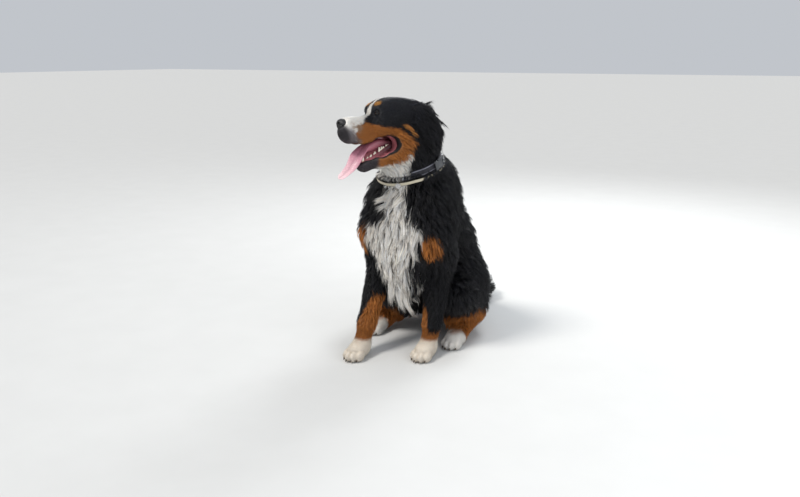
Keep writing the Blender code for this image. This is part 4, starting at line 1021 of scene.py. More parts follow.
def locks(count, guides, lo, hi, steps, seed, width, spacing):
    """Hair in locks: every tuft leans towards the guide that it is nearest to, and its tip closes on it."""
    rng = np.random.default_rng(seed)
    here = ((depth >= lo) & (depth < hi)) | ((lo < 0.0165) & (depth < hi) & (longer >= 1.3))
    weight = np.where(here & ((lo < 0.0165) | (longer < 1.3)), 1.0 / np.maximum(depth * 2 + 0.004, 0.012) ** 0.8, 0.0)
    gi, gW = taken(np.where(weight > 0, 1.0 / np.maximum(spacing(depth), 0.004) ** 2, 0.0), guides, rng)
    G0, GN, Gt = spread(V, gi, gW), rows_unit(spread(normals, gi, gW)), spread(T, gi, gW)
    GL = hair_length(Gt) * rng.uniform(0.85, 1.2, guides)
    fine = 6
    tall = Gt[:, 0] * rng.uniform(0.58, 1.0, guides)
    G, Gn = combed(G0, GN, Gt, GL, tall, rng.normal(0, 0.17, (guides, 3)), fine)
    turn, phase = rng.uniform(0.55, 1.05, guides), rng.random(guides) * 2 * pi
    T0 = rows_unit(G[-1] - G[0])
    side = rows_unit(np.cross(T0, GN))
    size = Gt[:, 4] * GL * 0.055 * rng.uniform(0.5, 1.4, guides)
    curl = rng.normal(0, 0.07, guides) * GL * Gt[:, 4]
    for k in range(1, fine + 1):
        t = k / fine
        G[k] += side * (size * (np.sin(2 * pi * t * turn + phase) - np.sin(phase)) * min(1.0, t * 1.6) + curl * t ** 2)[:, None]
    tree = KDTree(guides)
    for q, p in enumerate(G0):
        tree.insert(Vector(p), q)
    tree.balance()
    i, W = taken(weight, count, rng)
    P, N, tr = spread(V, i, W), rows_unit(spread(normals, i, W)), spread(T, i, W)
    own = np.empty(count, int)
    wob = P + rng.normal(0, 0.0022, (count, 3))
    for q in range(count):
        best, score = 0, 1e9
        for _, idx, dist in tree.find_n(Vector(wob[q]), 3):
            sc = dist * (1.6 - 0.6 * float(N[q] @ GN[idx]))
            if sc < score:
                best, score = idx, sc
        own[q] = best
    reach = rng.uniform(0.72, 1.06, count)
    pull = np.clip(rng.normal(0.66, 0.14, guides), 0.25, 0.92)[own]
    shy = rng.normal(0, 0.035, (count, 3)) * GL[own][:, None]
    lift = rng.uniform(0.72, 1.06, count)
    off0 = P - G0[own]
    off0 *= np.minimum(1, 0.030 / np.maximum(np.linalg.norm(off0, axis=1), 1e-6))[:, None] ** 0
    path = np.zeros((steps + 1, count, 3))
    path[0] = P - N * 0.0012
    high = tr[:, 0]
    for k in range(1, steps + 1):
        t = k / steps
        u = np.minimum(t * reach, 1.0) * fine
        a = np.minimum(u.astype(int), fine - 1)
        b = (u - a)[:, None]
        g = G[a, own] * (1 - b) + G[a + 1, own] * b
        gn = rows_unit(Gn[a, own] * (1 - b) + Gn[a + 1, own] * b)
        p = g + off0 * (1 - pull * t ** 1.25)[:, None] + shy * t
        dd = dog.read(p, False)
        want = np.maximum(tall[own] * lift, 0.0015) * (1 - (1 - t) ** 1.9)
        gap = want - dd
        p = p + gn * (gap * np.where(gap > 0, 1.0, Gt[own, 5] * 0.6))[:, None]
        path[k] = p
    path[1:, :, 2] = np.maximum(path[1:, :, 2], 0.0022)
    path = ended(path, P)
    before = path.copy()
    flat = path[1:].reshape(-1, 3)
    path[1:] = pressed(flat, np.tile(P, (steps, 1))).reshape(path[1:].shape)
    # what was pushed in goes down in a curve
    off, was = path - strap_loop.c, before - strap_loop.c
    off, was = off - (off @ strap_loop.n)[..., None] * strap_loop.n, was - (was @ strap_loop.n)[..., None] * strap_loop.n
    bent = np.nonzero(((np.linalg.norm(off, axis=2) - np.linalg.norm(was, axis=2)).min(0) < -0.0012) & (strap_loop.coordinates(P)[0] < -50))[0]
    for turn in range(2):
        part = path[:, bent]
        part[1:-1] = 0.25 * part[:-2] + 0.5 * part[1:-1] + 0.25 * part[2:]
        part[-1] = 0.5 * part[-1] + 0.5 * (2 * part[-2] - part[-3])
        path[:, bent] = part
    return dict(path=path, N=N, root=P, L=GL[own] * reach, W=width(tr[:, 0]) * rng.uniform(0.75, 1.3, count), steps=steps, rng=rng, group=own, at=0.55)


def tresses(rows, seed, steps=4):
    """Single locks that leave the coat: root, bend and tip, how many hairs, their spread at root and tip, and their width."""
    rng = np.random.default_rng(seed)
    paths, roots, widths, groups = [], [], [], []
    for q, (root, bend, tip, count, wide, narrow, width) in enumerate(rows):
        root, bend, tip = (np.asarray(v, float) for v in (root, bend, tip))
        base = np.tile(root, (count, 1)) + rng.normal(0, wide, (count, 3))
        for turn in range(4):
            base = base - dog.slope(base) * np.clip(dog.read(base, False), -0.02, 0.02)[:, None]
        reach, fan = rng.uniform(0.62, 1.0, count), rng.normal(0, narrow, (count, 3))
        path = np.zeros((steps + 1, count, 3))
        for k in range(steps + 1):
            t = (k / steps * reach)[:, None]
            line = (1 - t) ** 2 * root + 2 * t * (1 - t) * bend + t ** 2 * tip
            path[k] = line + (base - root) * (1 - t) ** 1.4 + fan * t ** 1.5
        path[1:, :, 2] = np.maximum(path[1:, :, 2], 0.0022)
        paths.append(path)
        roots.append(base)
        widths.append(np.full(count, width) * rng.uniform(0.7, 1.25, count))
        groups.append(np.full(count, q))
    R = np.concatenate(roots)
    path = np.concatenate(paths, 1)
    return dict(path=path, N=dog.slope(R), root=R, L=np.linalg.norm(path[-1] - path[0], axis=1), W=np.concatenate(widths), steps=steps, rng=rng, group=np.concatenate(groups), at=0.35)


def tufted(g, taper):
    """Closed three-sided tapering tufts along the paths, with painted shade that lightens from root to tip."""
    path, steps, n = g["path"], g["steps"], len(g["root"])
    rings = steps
    tangent = rows_unit(np.gradient(path, axis=0)) if steps > 1 else np.tile(rows_unit(path[1] - path[0])[None], (2, 1, 1))
    side = rows_unit(np.cross(tangent, g["N"][None]))
    up = np.cross(side, tangent)
    per = rings * 3 + 1
    X = np.empty((n, per, 3))
    shade, uvoff = np.empty(per), np.empty((per, 2))
    for k in range(rings):
        w = (g["W"] * taper[k])[:, None]
        X[:, k * 3] = path[k] + side[k] * w * 0.5 - up[k] * w * 0.10
        X[:, k * 3 + 1] = path[k] - side[k] * w * 0.5 - up[k] * w * 0.10
        X[:, k * 3 + 2] = path[k] + up[k] * w * 0.30
        t = k / steps
        # painted shade and light along each tuft: 0.62 of its colour at the root, rising to 1.12 at the tip
        shade[k * 3:k * 3 + 3] = 0.62 + 0.50 * t
        for j, (du, dv) in enumerate(((0.5, -0.5), (-0.5, -0.5), (0.0, -0.25))):
            uvoff[k * 3 + j] = (du * (1 - 0.6 * t), dv + t * 0.9)
    X[:, -1] = path[-1]
    shade[-1] = 1.12
    uvoff[-1] = (0.0, 0.5)
    faces = [(0, 1, 2)]
    for k in range(rings - 1):
        for j in range(3):
            j2 = (j + 1) % 3
            a, b, c2, d2 = k * 3 + j, k * 3 + j2, (k + 1) * 3 + j2, (k + 1) * 3 + j
            faces += [(a, c2, b), (a, d2, c2)]
    for j in range(3):
        faces.append(((rings - 1) * 3 + j, per - 1, (rings - 1) * 3 + (j + 1) % 3))
    return X, np.array(faces), shade, uvoff


def painted(g, shade):
    """Colour of each tuft from the markings at its root, uneven from lock to lock, with painted shade at its root and
    painted light at its tip.
    """
    rng, n = g["rng"], len(g["root"])
    k = g["at"] * g["steps"]
    a = min(int(k), g["steps"] - 1)
    seen = g["path"][a] * (1 - (k - a)) + g["path"][a + 1] * (k - a)
    base = markings(seen, rng.normal(0, 1, n))
    dark = base.max(1) < 0.05
    group = g["group"]
    lot = rng.normal(0, 1, group.max() + 1)[group]
    one = rng.normal(0, 1, n)
    pale = base.min(1) > 0.30
    gain = np.exp(0.10 * one + 0.09 * lot)
    gain = np.where(dark, np.exp(0.30 * one + 0.30 * lot), gain)
    gain = np.where(pale, np.exp(0.045 * one + 0.035 * lot - 0.02), gain)
    warm = rng.normal(0, 1, n)
    tone = np.stack([1 + 0.03 * warm, np.ones(n), 1 - 0.04 * warm], 1)
    base = base * gain[:, None] * tone
    # painted shade towards the root and painted light at the tip, only a little of it on pale hair
    root_shade_tip_light = np.where(pale[:, None], 0.90 + 0.10 * shade[None], shade[None])
    return np.clip(base[:, None, :] * root_shade_tip_light[..., None], 0, 0.92)


def hair_pieces(name, g, taper, material, limit=190000):
    X, faces, shade, uvoff = tufted(g, taper)
    colours = painted(g, shade)
    place = place_on_plan(g["root"])
    n, per = X.shape[:2]
    # long strips of the body go together, so that each piece is one region
    order = np.argsort(g["root"][:, 2] + 0.3 * g["root"][:, 1])
    most = limit // len(faces)
    count = int(np.ceil(n / most))
    for c, part in enumerate(np.array_split(order, count)):
        Xp = X[part].reshape(-1, 3)
        Fp = (faces[None] + (np.arange(len(part)) * per)[:, None, None]).reshape(-1, 3)
        uv = (place[part][:, None, :] + uvoff[None] * 0.003).reshape(-1, 2)
        o = mesh_of(f"coat_{name}_{c + 1}", Xp, Fp, uv={"OFBake": uv}, colour=colours[part].reshape(-1, 3))
        worn(o, "coat", material)
    return n * len(faces)


HAIR = coat_material()
share = 1.0
longer = T[F, 6].mean(1)
coats = (("long", locks(int(37500 * share), int(4200 * max(share, 0.3)), 0.0165, 1.0, 4, 11, lambda c: 0.0013 + 0.036 * c, lambda c: 0.009 + 0.32 * c), (0.80, 1.0, 0.84, 0.52)),
         ("mid", locks(int(18500 * share), int(3800 * max(share, 0.3)), 0.0075, 0.0165, 3, 12, lambda c: 0.0011 + 0.044 * c, lambda c: 0.0055 + 0.28 * c), (0.80, 1.0, 0.66)),
         ("short", short_coat(int(55000 * share), 0.0, 0.0075, 13), (1.0,)))
loose = []
for s in (1, -1):
    # behind and below the ears, and the small ones where the ear leaves the crown
    loose += [(head((-0.118, s * 0.062, -0.012)), head((-0.150, s * 0.070, -0.022)), head((-0.176, s * 0.072, -0.046)), 44, 0.0050, 0.0045, 0.0014),
              (head((-0.120, s * 0.068, -0.034)), head((-0.148, s * 0.074, -0.050)), head((-0.164, s * 0.074, -0.078)), 44, 0.0055, 0.0045, 0.0014),
              (head((-0.098, s * 0.050, 0.030)), head((-0.112, s * 0.058, 0.044)), head((-0.132, s * 0.062, 0.040)), 36, 0.0045, 0.0035, 0.0012),
              (head((-0.064, s * 0.058, 0.026)), head((-0.078, s * 0.070, 0.030)), head((-0.098, s * 0.082, 0.014)), 40, 0.0055, 0.0040, 0.0012),
              (head((-0.128, s * 0.076, -0.080)), head((-0.138, s * 0.088, -0.100)), head((-0.142, s * 0.086, -0.128)), 44, 0.0060, 0.0045, 0.0014),
              (head((-0.104, s * 0.084, -0.082)), head((-0.112, s * 0.096, -0.104)), head((-0.110, s * 0.094, -0.132)), 44, 0.0060, 0.0045, 0.0014)]
    # behind the elbows and along the thighs
    for h, out, back in ((0.350, 0.030, 0.060), (0.325, 0.028, 0.066), (0.300, 0.022, 0.066), (0.275, 0.014, 0.058)):
        ex, ey = (0.115, 0.050) if s > 0 else (-0.094, 0.026)
        loose.append(((ex + s * 0.012, ey + 0.004, h), (ex + s * (0.012 + out * 0.6), ey + back * 0.75, h - 0.018), (ex + s * 0.014, ey + back, h - 0.072), 40, 0.0080, 0.0070, 0.0015))
# the brisket's long tips, which swing to the dog's left
loose += [((-0.012, -0.075, 0.262), (-0.022, -0.092, 0.205), (-0.014, -0.070, 0.160), 150, 0.0130, 0.0085, 0.0017),
          ((0.012, -0.070, 0.246), (0.006, -0.092, 0.185), (0.034, -0.062, 0.146), 200, 0.0130, 0.0080, 0.0017),
          ((0.026, -0.060, 0.240), (0.030, -0.085, 0.172), (0.070, -0.056, 0.130), 170, 0.0120, 0.0055, 0.0017),
          ((0.058, -0.030, 0.275), (0.066, -0.052, 0.240), (0.084, -0.010, 0.212), 60, 0.0080, 0.0040, 0.0014)]
# where the white of the neck fans out to the right above the breastbone
loose += [((-0.006, -0.116, 0.556), (-0.028, -0.138, 0.545), (-0.054, -0.124, 0.526), 120, 0.0085, 0.0080, 0.0014),
          ((0.004, -0.122, 0.538), (-0.016, -0.140, 0.522), (-0.040, -0.130, 0.502), 120, 0.0085, 0.0080, 0.0014)]
# the mane laps over the thin band from the side round the back
for turn_ in np.arange(-34.0, 231.0, 3.6):
    loose.append((band_loop.at(turn_, -0.014, 0.013)[0], band_loop.at(turn_, BAND_THICK + 0.0105, 0.006)[0], band_loop.at(turn_, 0.0060, -0.034)[0], 27, 0.0046, 0.0050, 0.0017))
coats = coats + (("loose", tresses(loose, 14), (0.80, 1.0, 0.84, 0.50)),)
tris = 0
for name, g, taper in coats:
    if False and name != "loose":
        g["W"] = g["W"] * 2.2
    tris += hair_pieces(name, g, taper, HAIR)
print("COAT", tris, "SKIN", len(F) * 2)

# ---- eyes -----------------------------------------------------------------
def eye_material():
    p = Paint("eye")
    colour = p.node("ShaderNodeAttribute", attribute_name="Tint").outputs["Color"]
    p.link(colour, "Base Color")
    g = p.noise(1400.0, 3.0)
    shade = p.node("ShaderNodeMapRange", {"Value": g, "From Min": 0.3, "From Max": 0.7, "To Min": 0.06, "To Max": 0.10}).outputs["Result"]
    p.link(shade, "Roughness")
    p.set(Specular_IOR_Level=0.35, Coat_Weight=0.25, Coat_Roughness=0.02)
    return p.m


def lid_material():
    p = Paint("eyelid")
    g = p.noise(1100.0, 3.0)
    p.link(p.mix(g, (0.005, 0.0045, 0.005, 1), (0.014, 0.011, 0.011, 1)), "Base Color")
    p.bump(g, 0.3, 0.0004)
    p.set(Roughness=0.5, Specular_IOR_Level=0.3)
    return p.m


EYE, LID = eye_material(), lid_material()
for side, s in (("l", 1), ("r", -1)):
    at = head((EYE_AT[0], s * EYE_AT[1], EYE_AT[2]))
    look = LOOK[s]
    across = rows_unit(np.cross(HEAD[:, 2], look)[None])[0]
    up = np.cross(look, across)
    # a ball with a slightly fuller cornea, its iris, pupil and white told apart by angle
    rings, around = 40, 48
    th = np.linspace(0, pi, rings + 1)[1:-1]
    ph = np.arange(around) * 2 * pi / around
    r = EYE_RADIUS * (1 + 0.035 * np.exp(-(th / 0.42) ** 4))
    R = (look * np.cos(th)[:, None])[:, None] + (across * np.cos(ph)[:, None] + up * np.sin(ph)[:, None])[None] * np.sin(th)[:, None, None]
    Ve = at + (R * r[:, None, None]).reshape(-1, 3)
    Ve = np.concatenate([Ve, [at + look * EYE_RADIUS * 1.035], [at - look * EYE_RADIUS]])
    angle = np.concatenate([np.repeat(th, around), [0.0], [pi]])
    turn = np.concatenate([np.tile(ph, len(th)), [0.0], [0.0]])
    Fe = []
    for i in range(len(th) - 1):
        for k in range(around):
            k2 = (k + 1) % around
            Fe += [(i * around + k, (i + 1) * around + k, (i + 1) * around + k2), (i * around + k, (i + 1) * around + k2, i * around + k2)]
    for k in range(around):
        k2 = (k + 1) % around
        Fe += [(len(Ve) - 2, k, k2), (len(Ve) - 1, (len(th) - 1) * around + k2, (len(th) - 1) * around + k)]
    streaks = 0.75 + 0.25 * np.sin(turn * 23 + 2 * np.sin(turn * 7)) * np.sin(turn * 11)
    iris = np.array((0.030, 0.012, 0.006)) * (streaks * (0.6 + 0.8 * smooth(angle, 0.28, 0.70)))[:, None]
    Ce = np.where((angle < 0.27)[:, None], np.array((0.002, 0.002, 0.002)), iris)
    rim = smooth(angle, 0.68, 0.76)[:, None]
    Ce = Ce * (1 - rim) + np.array((0.006, 0.004, 0.004)) * rim
    white = smooth(angle, 0.80, 0.92)[:, None]
    Ce = Ce * (1 - white) + np.array((0.30, 0.23, 0.21)) * white
    eye = mesh_of(f"eyeball_{side}", Ve, np.array(Fe), colour=Ce)
    worn(eye, "eye", EYE)
    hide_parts("eye_" + side)
    # lids: a shell over the ball with an almond opening, thick at its rim
    n = 64
    a = np.arange(n) * 2 * pi / n
    wide = np.where(np.cos(a) * s > 0, radians(50), radians(48))
    tall = np.where(np.sin(a) > 0, radians(18), radians(15))
    pinch = 1.0 - 0.10 * np.abs(np.sin(2 * a))
    opening = pinch / np.sqrt((np.cos(a) / wide) ** 2 + (np.sin(a) / tall) ** 2)
    profile = [(0.0, 0.0002), (0.0, 0.0011), (0.05, 0.0017), (0.14, 0.0020), (0.35, 0.0017), (0.65, 0.0010), (1.0, -0.0004), (1.0, -0.0014)]
    Vl = []
    for share_out, out in profile:
        ang = opening + (radians(74) - opening) * share_out
        dirs = look * np.cos(ang)[:, None] + (across * np.cos(a)[:, None] + up * np.sin(a)[:, None]) * np.sin(ang)[:, None]
        Vl.append(at + dirs * (EYE_RADIUS * 1.012 + out))
    Vl = np.concatenate(Vl)
    Fl = []
    rows = len(profile)
    for i in range(rows):
        j = (i + 1) % rows
        for k in range(n):
            k2 = (k + 1) % n
            Fl += [(i * n + k, j * n + k, j * n + k2), (i * n + k, j * n + k2, i * n + k2)]
    lid = mesh_of(f"eyelids_{side}", Vl, np.array(Fl))
    worn(lid, "nose", LID)

# ---- nose -----------------------------------------------------------------
def nose_grain(P):
    return 0.00022 * np.sin(P[..., 0] * 3100 + 1.5 * np.sin(P[..., 2] * 1500)) * np.sin(P[..., 1] * 2900 + 1.3 * np.sin(P[..., 0] * 1300)) * np.sin(P[..., 2] * 3000)


pad = [(Ball((0.1655, 0, -0.0280), (0.0180, 0.0205, 0.0148)), 0.004), (Ball((0.1650, 0, -0.0390), (0.0155, 0.0105, 0.0140)), 0.008)]
cuts = [(Block((0.184, 0, -0.043), (0.008, 0.0002, 0.014), 0.0006, np.eye(3)), 0.002)]
for s in (1, -1):
    pad.append((Ball((0.1610, s * 0.0150, -0.0315), (0.0150, 0.0085, 0.0105)), 0.006))
    cuts.append((Limb((0.1850, s * 0.0078, -0.0285), (0.171, s * 0.0080, -0.0262), 0.0046, 0.0030), 0.002))
    cuts.append((Limb((0.1810, s * 0.0125, -0.0325), (0.1640, s * 0.0245, -0.0350), 0.0019, 0.0013), 0.0015))
Vn, Fn = solid(pad, cuts, 0.0008, grain=nose_grain)
hole = np.minimum.reduce([s_.distance(Vn) for s_, _ in cuts])
# painted shade: the leather darkens into the nostrils, their side slits and the groove down the middle, to 0.35 of its
# colour
Cn = np.tile(np.array((0.0085, 0.0078, 0.0085)), (len(Vn), 1)) * (0.35 + 0.65 * smooth(hole, 0.0004, 0.0016))[:, None]
Vn = HEAD_AT + Vn @ HEAD.T
nose = mesh_of("nose_leather", Vn, Fn, colour=Cn)
worn(nose, "nose", wet_material("nose_leather", 0.52, 1500.0, 1.0, 0.04))
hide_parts("nose_pad")

# ---- tongue ---------------------------------------------------------------
LINE = np.array([(-0.010, 0.0, -0.094), (0.014, 0.000, -0.0925), (0.038, 0.000, -0.0905), (0.062, 0.001, -0.0960), (0.084, 0.002, -0.1040), (0.1015, 0.003, -0.114), (0.115, 0.004, -0.1275), (0.1275, 0.005, -0.146), (0.144, 0.006, -0.168), (0.165, 0.006, -0.1865), (0.184, 0.006, -0.198)])
HALF_WIDTH = [0.0130, 0.0180, 0.0205, 0.0210, 0.0210, 0.0220, 0.0232, 0.0215, 0.0170, 0.0128, 0.0092]
HALF_DEPTH = [0.0085, 0.0125, 0.0160, 0.0160, 0.0135, 0.0065, 0.0046, 0.0038, 0.0034, 0.0028, 0.0014]
HANG = [0.0, 0.0, 4.0, 8.0, 14.0, 26.0, 36.0, 42.0, 45.0, 46.0, 46.0]


def eased(values, t):
    """Catmull-Rom through the values at 0, 1, 2 ..."""
    A = np.asarray(values, float)
    A = A[:, None] if A.ndim == 1 else A
    B = np.concatenate([2 * A[:1] - A[1:2], A, 2 * A[-1:] - A[-2:-1]])
    i = np.minimum(t.astype(int), len(A) - 2)
    u = (t - i)[:, None]
    p0, p1, p2, p3 = B[i], B[i + 1], B[i + 2], B[i + 3]
    return 0.5 * (2 * p1 + (p2 - p0) * u + (2 * p0 - 5 * p1 + 4 * p2 - p3) * u ** 2 + (3 * p1 - p0 - 3 * p2 + p3) * u ** 3)


steps, n = 90, 40
t = np.linspace(0, len(LINE) - 1, steps)
Pt, Wt, Dt, Ht = eased(LINE, t), eased(HALF_WIDTH, t)[:, 0], eased(HALF_DEPTH, t)[:, 0], np.radians(eased(HANG, t)[:, 0])
end = smooth(t, 9.55, 10.0)
Wt = np.maximum(Wt * np.sqrt(np.maximum(1 - end ** 1.6 * 0.93, 0.04)), 0.0012)
Tt = rows_unit(np.gradient(Pt, axis=0))
Ut = rows_unit(np.cross(Tt, (0, 1, 0)))
Ut = np.where(Ut[:, 2:3] > 0, Ut, -Ut)
St = np.cross(Ut, Tt)
St = np.where(St[:, 1:2] > 0, St, -St)
S2 = St * np.cos(Ht)[:, None] - Ut * np.sin(Ht)[:, None]
U2 = Ut * np.cos(Ht)[:, None] + St * np.sin(Ht)[:, None]
k = np.arange(n) * 2 * pi / n
ck, sk = np.cos(k), np.sin(k)
lip_round = np.sign(sk) * np.abs(sk) ** 0.8
ripple = 0.0009 * np.sin(t * 3.1)[:, None] * (np.abs(ck) ** 3)[None]
groove = -0.0016 * np.exp(-(ck / 0.16) ** 2)[None] * (sk > 0)[None] * (1 - end)[:, None]
height = Dt[:, None] * lip_round[None] + 0.16 * Wt[:, None] * (ck ** 2)[None] + groove + ripple
Vt = Pt[:, None] + S2[:, None] * (Wt[:, None] * ck[None])[..., None] + U2[:, None] * height[..., None]
across_at = np.repeat(ck[None], steps, 0).ravel()
Vt = Vt.reshape(-1, 3)
Ft = []
for i in range(steps - 1):
    for j in range(n):
        j2 = (j + 1) % n
        Ft += [(i * n + j, i * n + j2, (i + 1) * n + j2), (i * n + j, (i + 1) * n + j2, (i + 1) * n + j)]
Vt = np.concatenate([Vt, [Pt[0]], [Pt[-1] + 0.0006 * Tt[-1]]])
for j in range(n):
    j2 = (j + 1) % n
    Ft += [(steps * n, j2, j), (steps * n + 1, (steps - 1) * n + j, (steps - 1) * n + j2)]
along = np.concatenate([np.repeat(t / 10, n), [0.0, 1.0]])
edge_pink = np.concatenate([np.abs(across_at), [0, 1]])
Ct = np.array((0.36, 0.105, 0.140)) + (np.array((0.50, 0.195, 0.265)) - np.array((0.36, 0.105, 0.140))) * smooth(along, 0.30, 0.66)[:, None]
Ct = Ct + (np.array((0.88, 0.60, 0.63)) - Ct) * smooth(along, 0.62, 1.0)[:, None]
Ct = Ct * (1 - 0.16 * (1 - smooth(edge_pink, 0.0, 0.35)))[:, None]
# painted shade: the tongue darkens further towards its root, to 0.45 of its colour, where it goes back into the mouth
Ct = Ct * (0.45 + 0.55 * smooth(along, 0.05, 0.35))[:, None]
a2, b2, c2 = (Vt[np.array(Ft)[:, q]] for q in range(3))
if (np.einsum("ij,ij->i", a2, np.cross(b2, c2)).sum()) < 0:
    Ft = [f_[::-1] for f_ in Ft]
tongue = mesh_of("tongue_flesh", HEAD_AT + Vt @ HEAD.T, np.array(Ft), colour=Ct)
worn(tongue, "tongue", wet_material("tongue_flesh", 0.44, 1700.0, 0.8, 0.14))
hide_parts("tongue")

# ---- teeth ----------------------------------------------------------------
teeth = []
for s in (1, -1):
    # canine, then the cheek teeth growing towards the back
    teeth += [(Limb((0.1020, s * 0.0150, -0.153), (0.1045, s * 0.0168, -0.141), 0.0046, 0.0040), 0.001), (Limb((0.1045, s * 0.0168, -0.141), (0.1025, s * 0.0176, -0.129), 0.0040, 0.0012), 0.001)]
    for fwd, side, base, tall, r in ((0.0875, 0.0185, -0.1440, 0.0120, 0.0030), (0.0765, 0.0205, -0.1385, 0.0135, 0.0035), (0.0640, 0.0225, -0.1320, 0.0155, 0.0040)):
        teeth += [(Limb((fwd, s * side, base), (fwd + 0.0008, s * side, base + tall), r * 1.25, r * 0.48), 0.001),
                  (Limb((fwd - 0.0035, s * side, base), (fwd - 0.0040, s * side, base + tall * 0.72), r, r * 0.50), 0.002),
                  (Limb((fwd + 0.0035, s * side, base), (fwd + 0.0042, s * side, base + tall * 0.66), r, r * 0.50), 0.002)]
    teeth += [(Limb((0.0500, s * 0.0250, -0.1235), (0.0510, s * 0.0244, -0.1035), 0.0056, 0.0020), 0.002), (Limb((0.0435, s * 0.0262, -0.1190), (0.0430, s * 0.0254, -0.1015), 0.0054, 0.0022), 0.002),
              (Limb((0.0370, s * 0.0270, -0.1150), (0.0362, s * 0.0266, -0.1020), 0.0050, 0.0030), 0.002),
              (Limb((0.0275, s * 0.0285, -0.1085), (0.0272, s * 0.0280, -0.0955), 0.0048, 0.0026), 0.002), (Limb((0.0215, s * 0.0292, -0.1045), (0.0210, s * 0.0288, -0.0945), 0.0042, 0.0024), 0.002)]
for q in range(-2, 3):
    if q:
        teeth.append((Limb((0.1085, q * 0.0036, -0.151), (0.1100, q * 0.0038, -0.1415), 0.0024, 0.0014), 0.0006))
Vt2, Ft2 = solid(teeth, [], 0.00095)
tall = Vt2[:, 2] - np.interp(Vt2[:, 0], [0.02, 0.05, 0.10], [-0.103, -0.118, -0.146])
Cth = np.array((0.52, 0.40, 0.24)) + (np.array((0.84, 0.78, 0.64)) - np.array((0.52, 0.40, 0.24))) * smooth(tall, -0.002, 0.005)[:, None]
tooth = mesh_of("teeth", HEAD_AT + Vt2 @ HEAD.T, Ft2, colour=Cth)
worn(tooth, "teeth", wet_material("enamel", 0.22, 1200.0, 0.15, 0.5))

# ---- claws ----------------------------------------------------------------
claws = []
for i, (x, y) in enumerate(FEET):
    for dx in TOES:
        tipx, tipy = x + dx, y + 0.004 - 0.022 - toe_lead(dx) - 0.0290
        q = np.linspace(0, 1, 9)
        pts = np.stack([np.full(9, tipx), tipy + 0.0040 + 0.0150 * (1 - q), 0.0165 - 0.0030 * q - 0.0085 * q ** 2], 1)
        claws.append(tube(pts, 0.0048 * (1 - 0.74 * q ** 1.6), 12, up=(1, 0, 0)))
Vw, Fw = together(claws)


def horn_material():
    p = Paint("claw_horn")
    g = p.noise(500.0, 4.0)
    p.link(p.mix(g, (0.030, 0.022, 0.018, 1), (0.12, 0.085, 0.060, 1)), "Base Color")
    p.bump(p.noise(1800.0, 2.0), 0.25, 0.0003)
    p.set(Roughness=0.33, Specular_IOR_Level=0.5)
    return p.m


worn(mesh_of("claws", Vw, Fw), "claws", horn_material())


# ---- collars --------------------------------------------------------------
def ribbon(loop, width, thick, steps, round_by, out=0.0, sag=0.0):
    """A strap's own section, rounded at its edges, swept round the loop. Maps u along and v across it, in metres."""
    section = []
    for q in np.linspace(-1, 1, 13):
        section.append((thick - round_by * abs(q) ** 6, q * width / 2))
    for q in np.linspace(1, -1, 13):
        section.append((round_by * 0.6 * abs(q) ** 6, q * width / 2 * 0.998))
    section = np.array(section)
    d = np.arange(steps) * 360.0 / steps
    base, outward = loop.at(d), None
    nxt = loop.at(d + 1.0)
    tang = rows_unit(nxt - base)
    outward = rows_unit(np.cross(tang, loop.n))
    wob = 0.0004 * np.sin(np.radians(d * 5 + 20)) + 0.0003 * np.sin(np.radians(d * 11))
    Vr = base[:, None] + outward[:, None] * (section[:, 0] + out)[None, :, None] + loop.n * (section[:, 1][None, :, None] + wob[:, None, None])
    m = len(section)
    arc = np.concatenate([[0], np.cumsum(np.linalg.norm(np.diff(base, axis=0), axis=1))])
    Fr, uv = [], []
    total = arc[-1] + np.linalg.norm(base[-1] - base[0])
    for i in range(steps):
        j = (i + 1) % steps
        ua, ub = arc[i], arc[j] if j else total
        for q in range(m):
            q2 = (q + 1) % m
            Fr.append((i * m + q, j * m + q, j * m + q2, i * m + q2))
            va, vb = section[q, 1], section[q2, 1]
            uv += [(ua, va), (ub, va), (ub, vb), (ua, vb)]
    return Vr.reshape(-1, 3), np.array(Fr), np.array(uv)


def strap_material():
    p = Paint("woven_nylon")
    uv = p.node("ShaderNodeUVMap", uv_map="Weave").outputs["UV"]
    xyz = p.node("ShaderNodeSeparateXYZ", {"Vector": uv})
    u, v = xyz.outputs["X"], xyz.outputs["Y"]
    # rows of slanting ribs, in opposite senses in neighbouring columns
    column = p.math("MULTIPLY", v, 1.0 / 0.0021)
    sense = p.math("SUBTRACT", p.math("MULTIPLY", p.math("PINGPONG", column, 1.0), 2.0), 1.0)
    slant = p.math("ADD", p.math("MULTIPLY", u, 2 * pi / 0.0019), p.math("MULTIPLY", sense, 2.2))
    rib = p.math("ADD", p.math("MULTIPLY", p.math("SINE", slant), 0.5), 0.5)
    valley = p.math("ABSOLUTE", p.math("SINE", p.math("MULTIPLY", v, pi / 0.0021)))
    weave = p.math("MULTIPLY", rib, p.math("ADD", p.math("MULTIPLY", valley, 0.6), 0.4))
    off = p.math("ABSOLUTE", v)
    stripe = p.math("LESS_THAN", p.math("ABSOLUTE", p.math("SUBTRACT", off, 0.0086)), 0.0011)
    fuzz = p.noise(260.0, 4.0)
    dark = p.mix(weave, (0.006, 0.006, 0.010, 1), (0.034, 0.034, 0.050, 1))
    light = p.mix(weave, (0.16, 0.16, 0.20, 1), (0.46, 0.46, 0.52, 1))
    base = p.mix(stripe, dark, light)
    p.link(p.mix(p.math("MULTIPLY", fuzz, 0.35), base, (0.060, 0.056, 0.060, 1)), "Base Color")
    p.bump(weave, 0.8, 0.0006)
    p.set(Roughness=0.62, Specular_IOR_Level=0.35, Sheen_Weight=0.15, Sheen_Roughness=0.4)
    return p.m


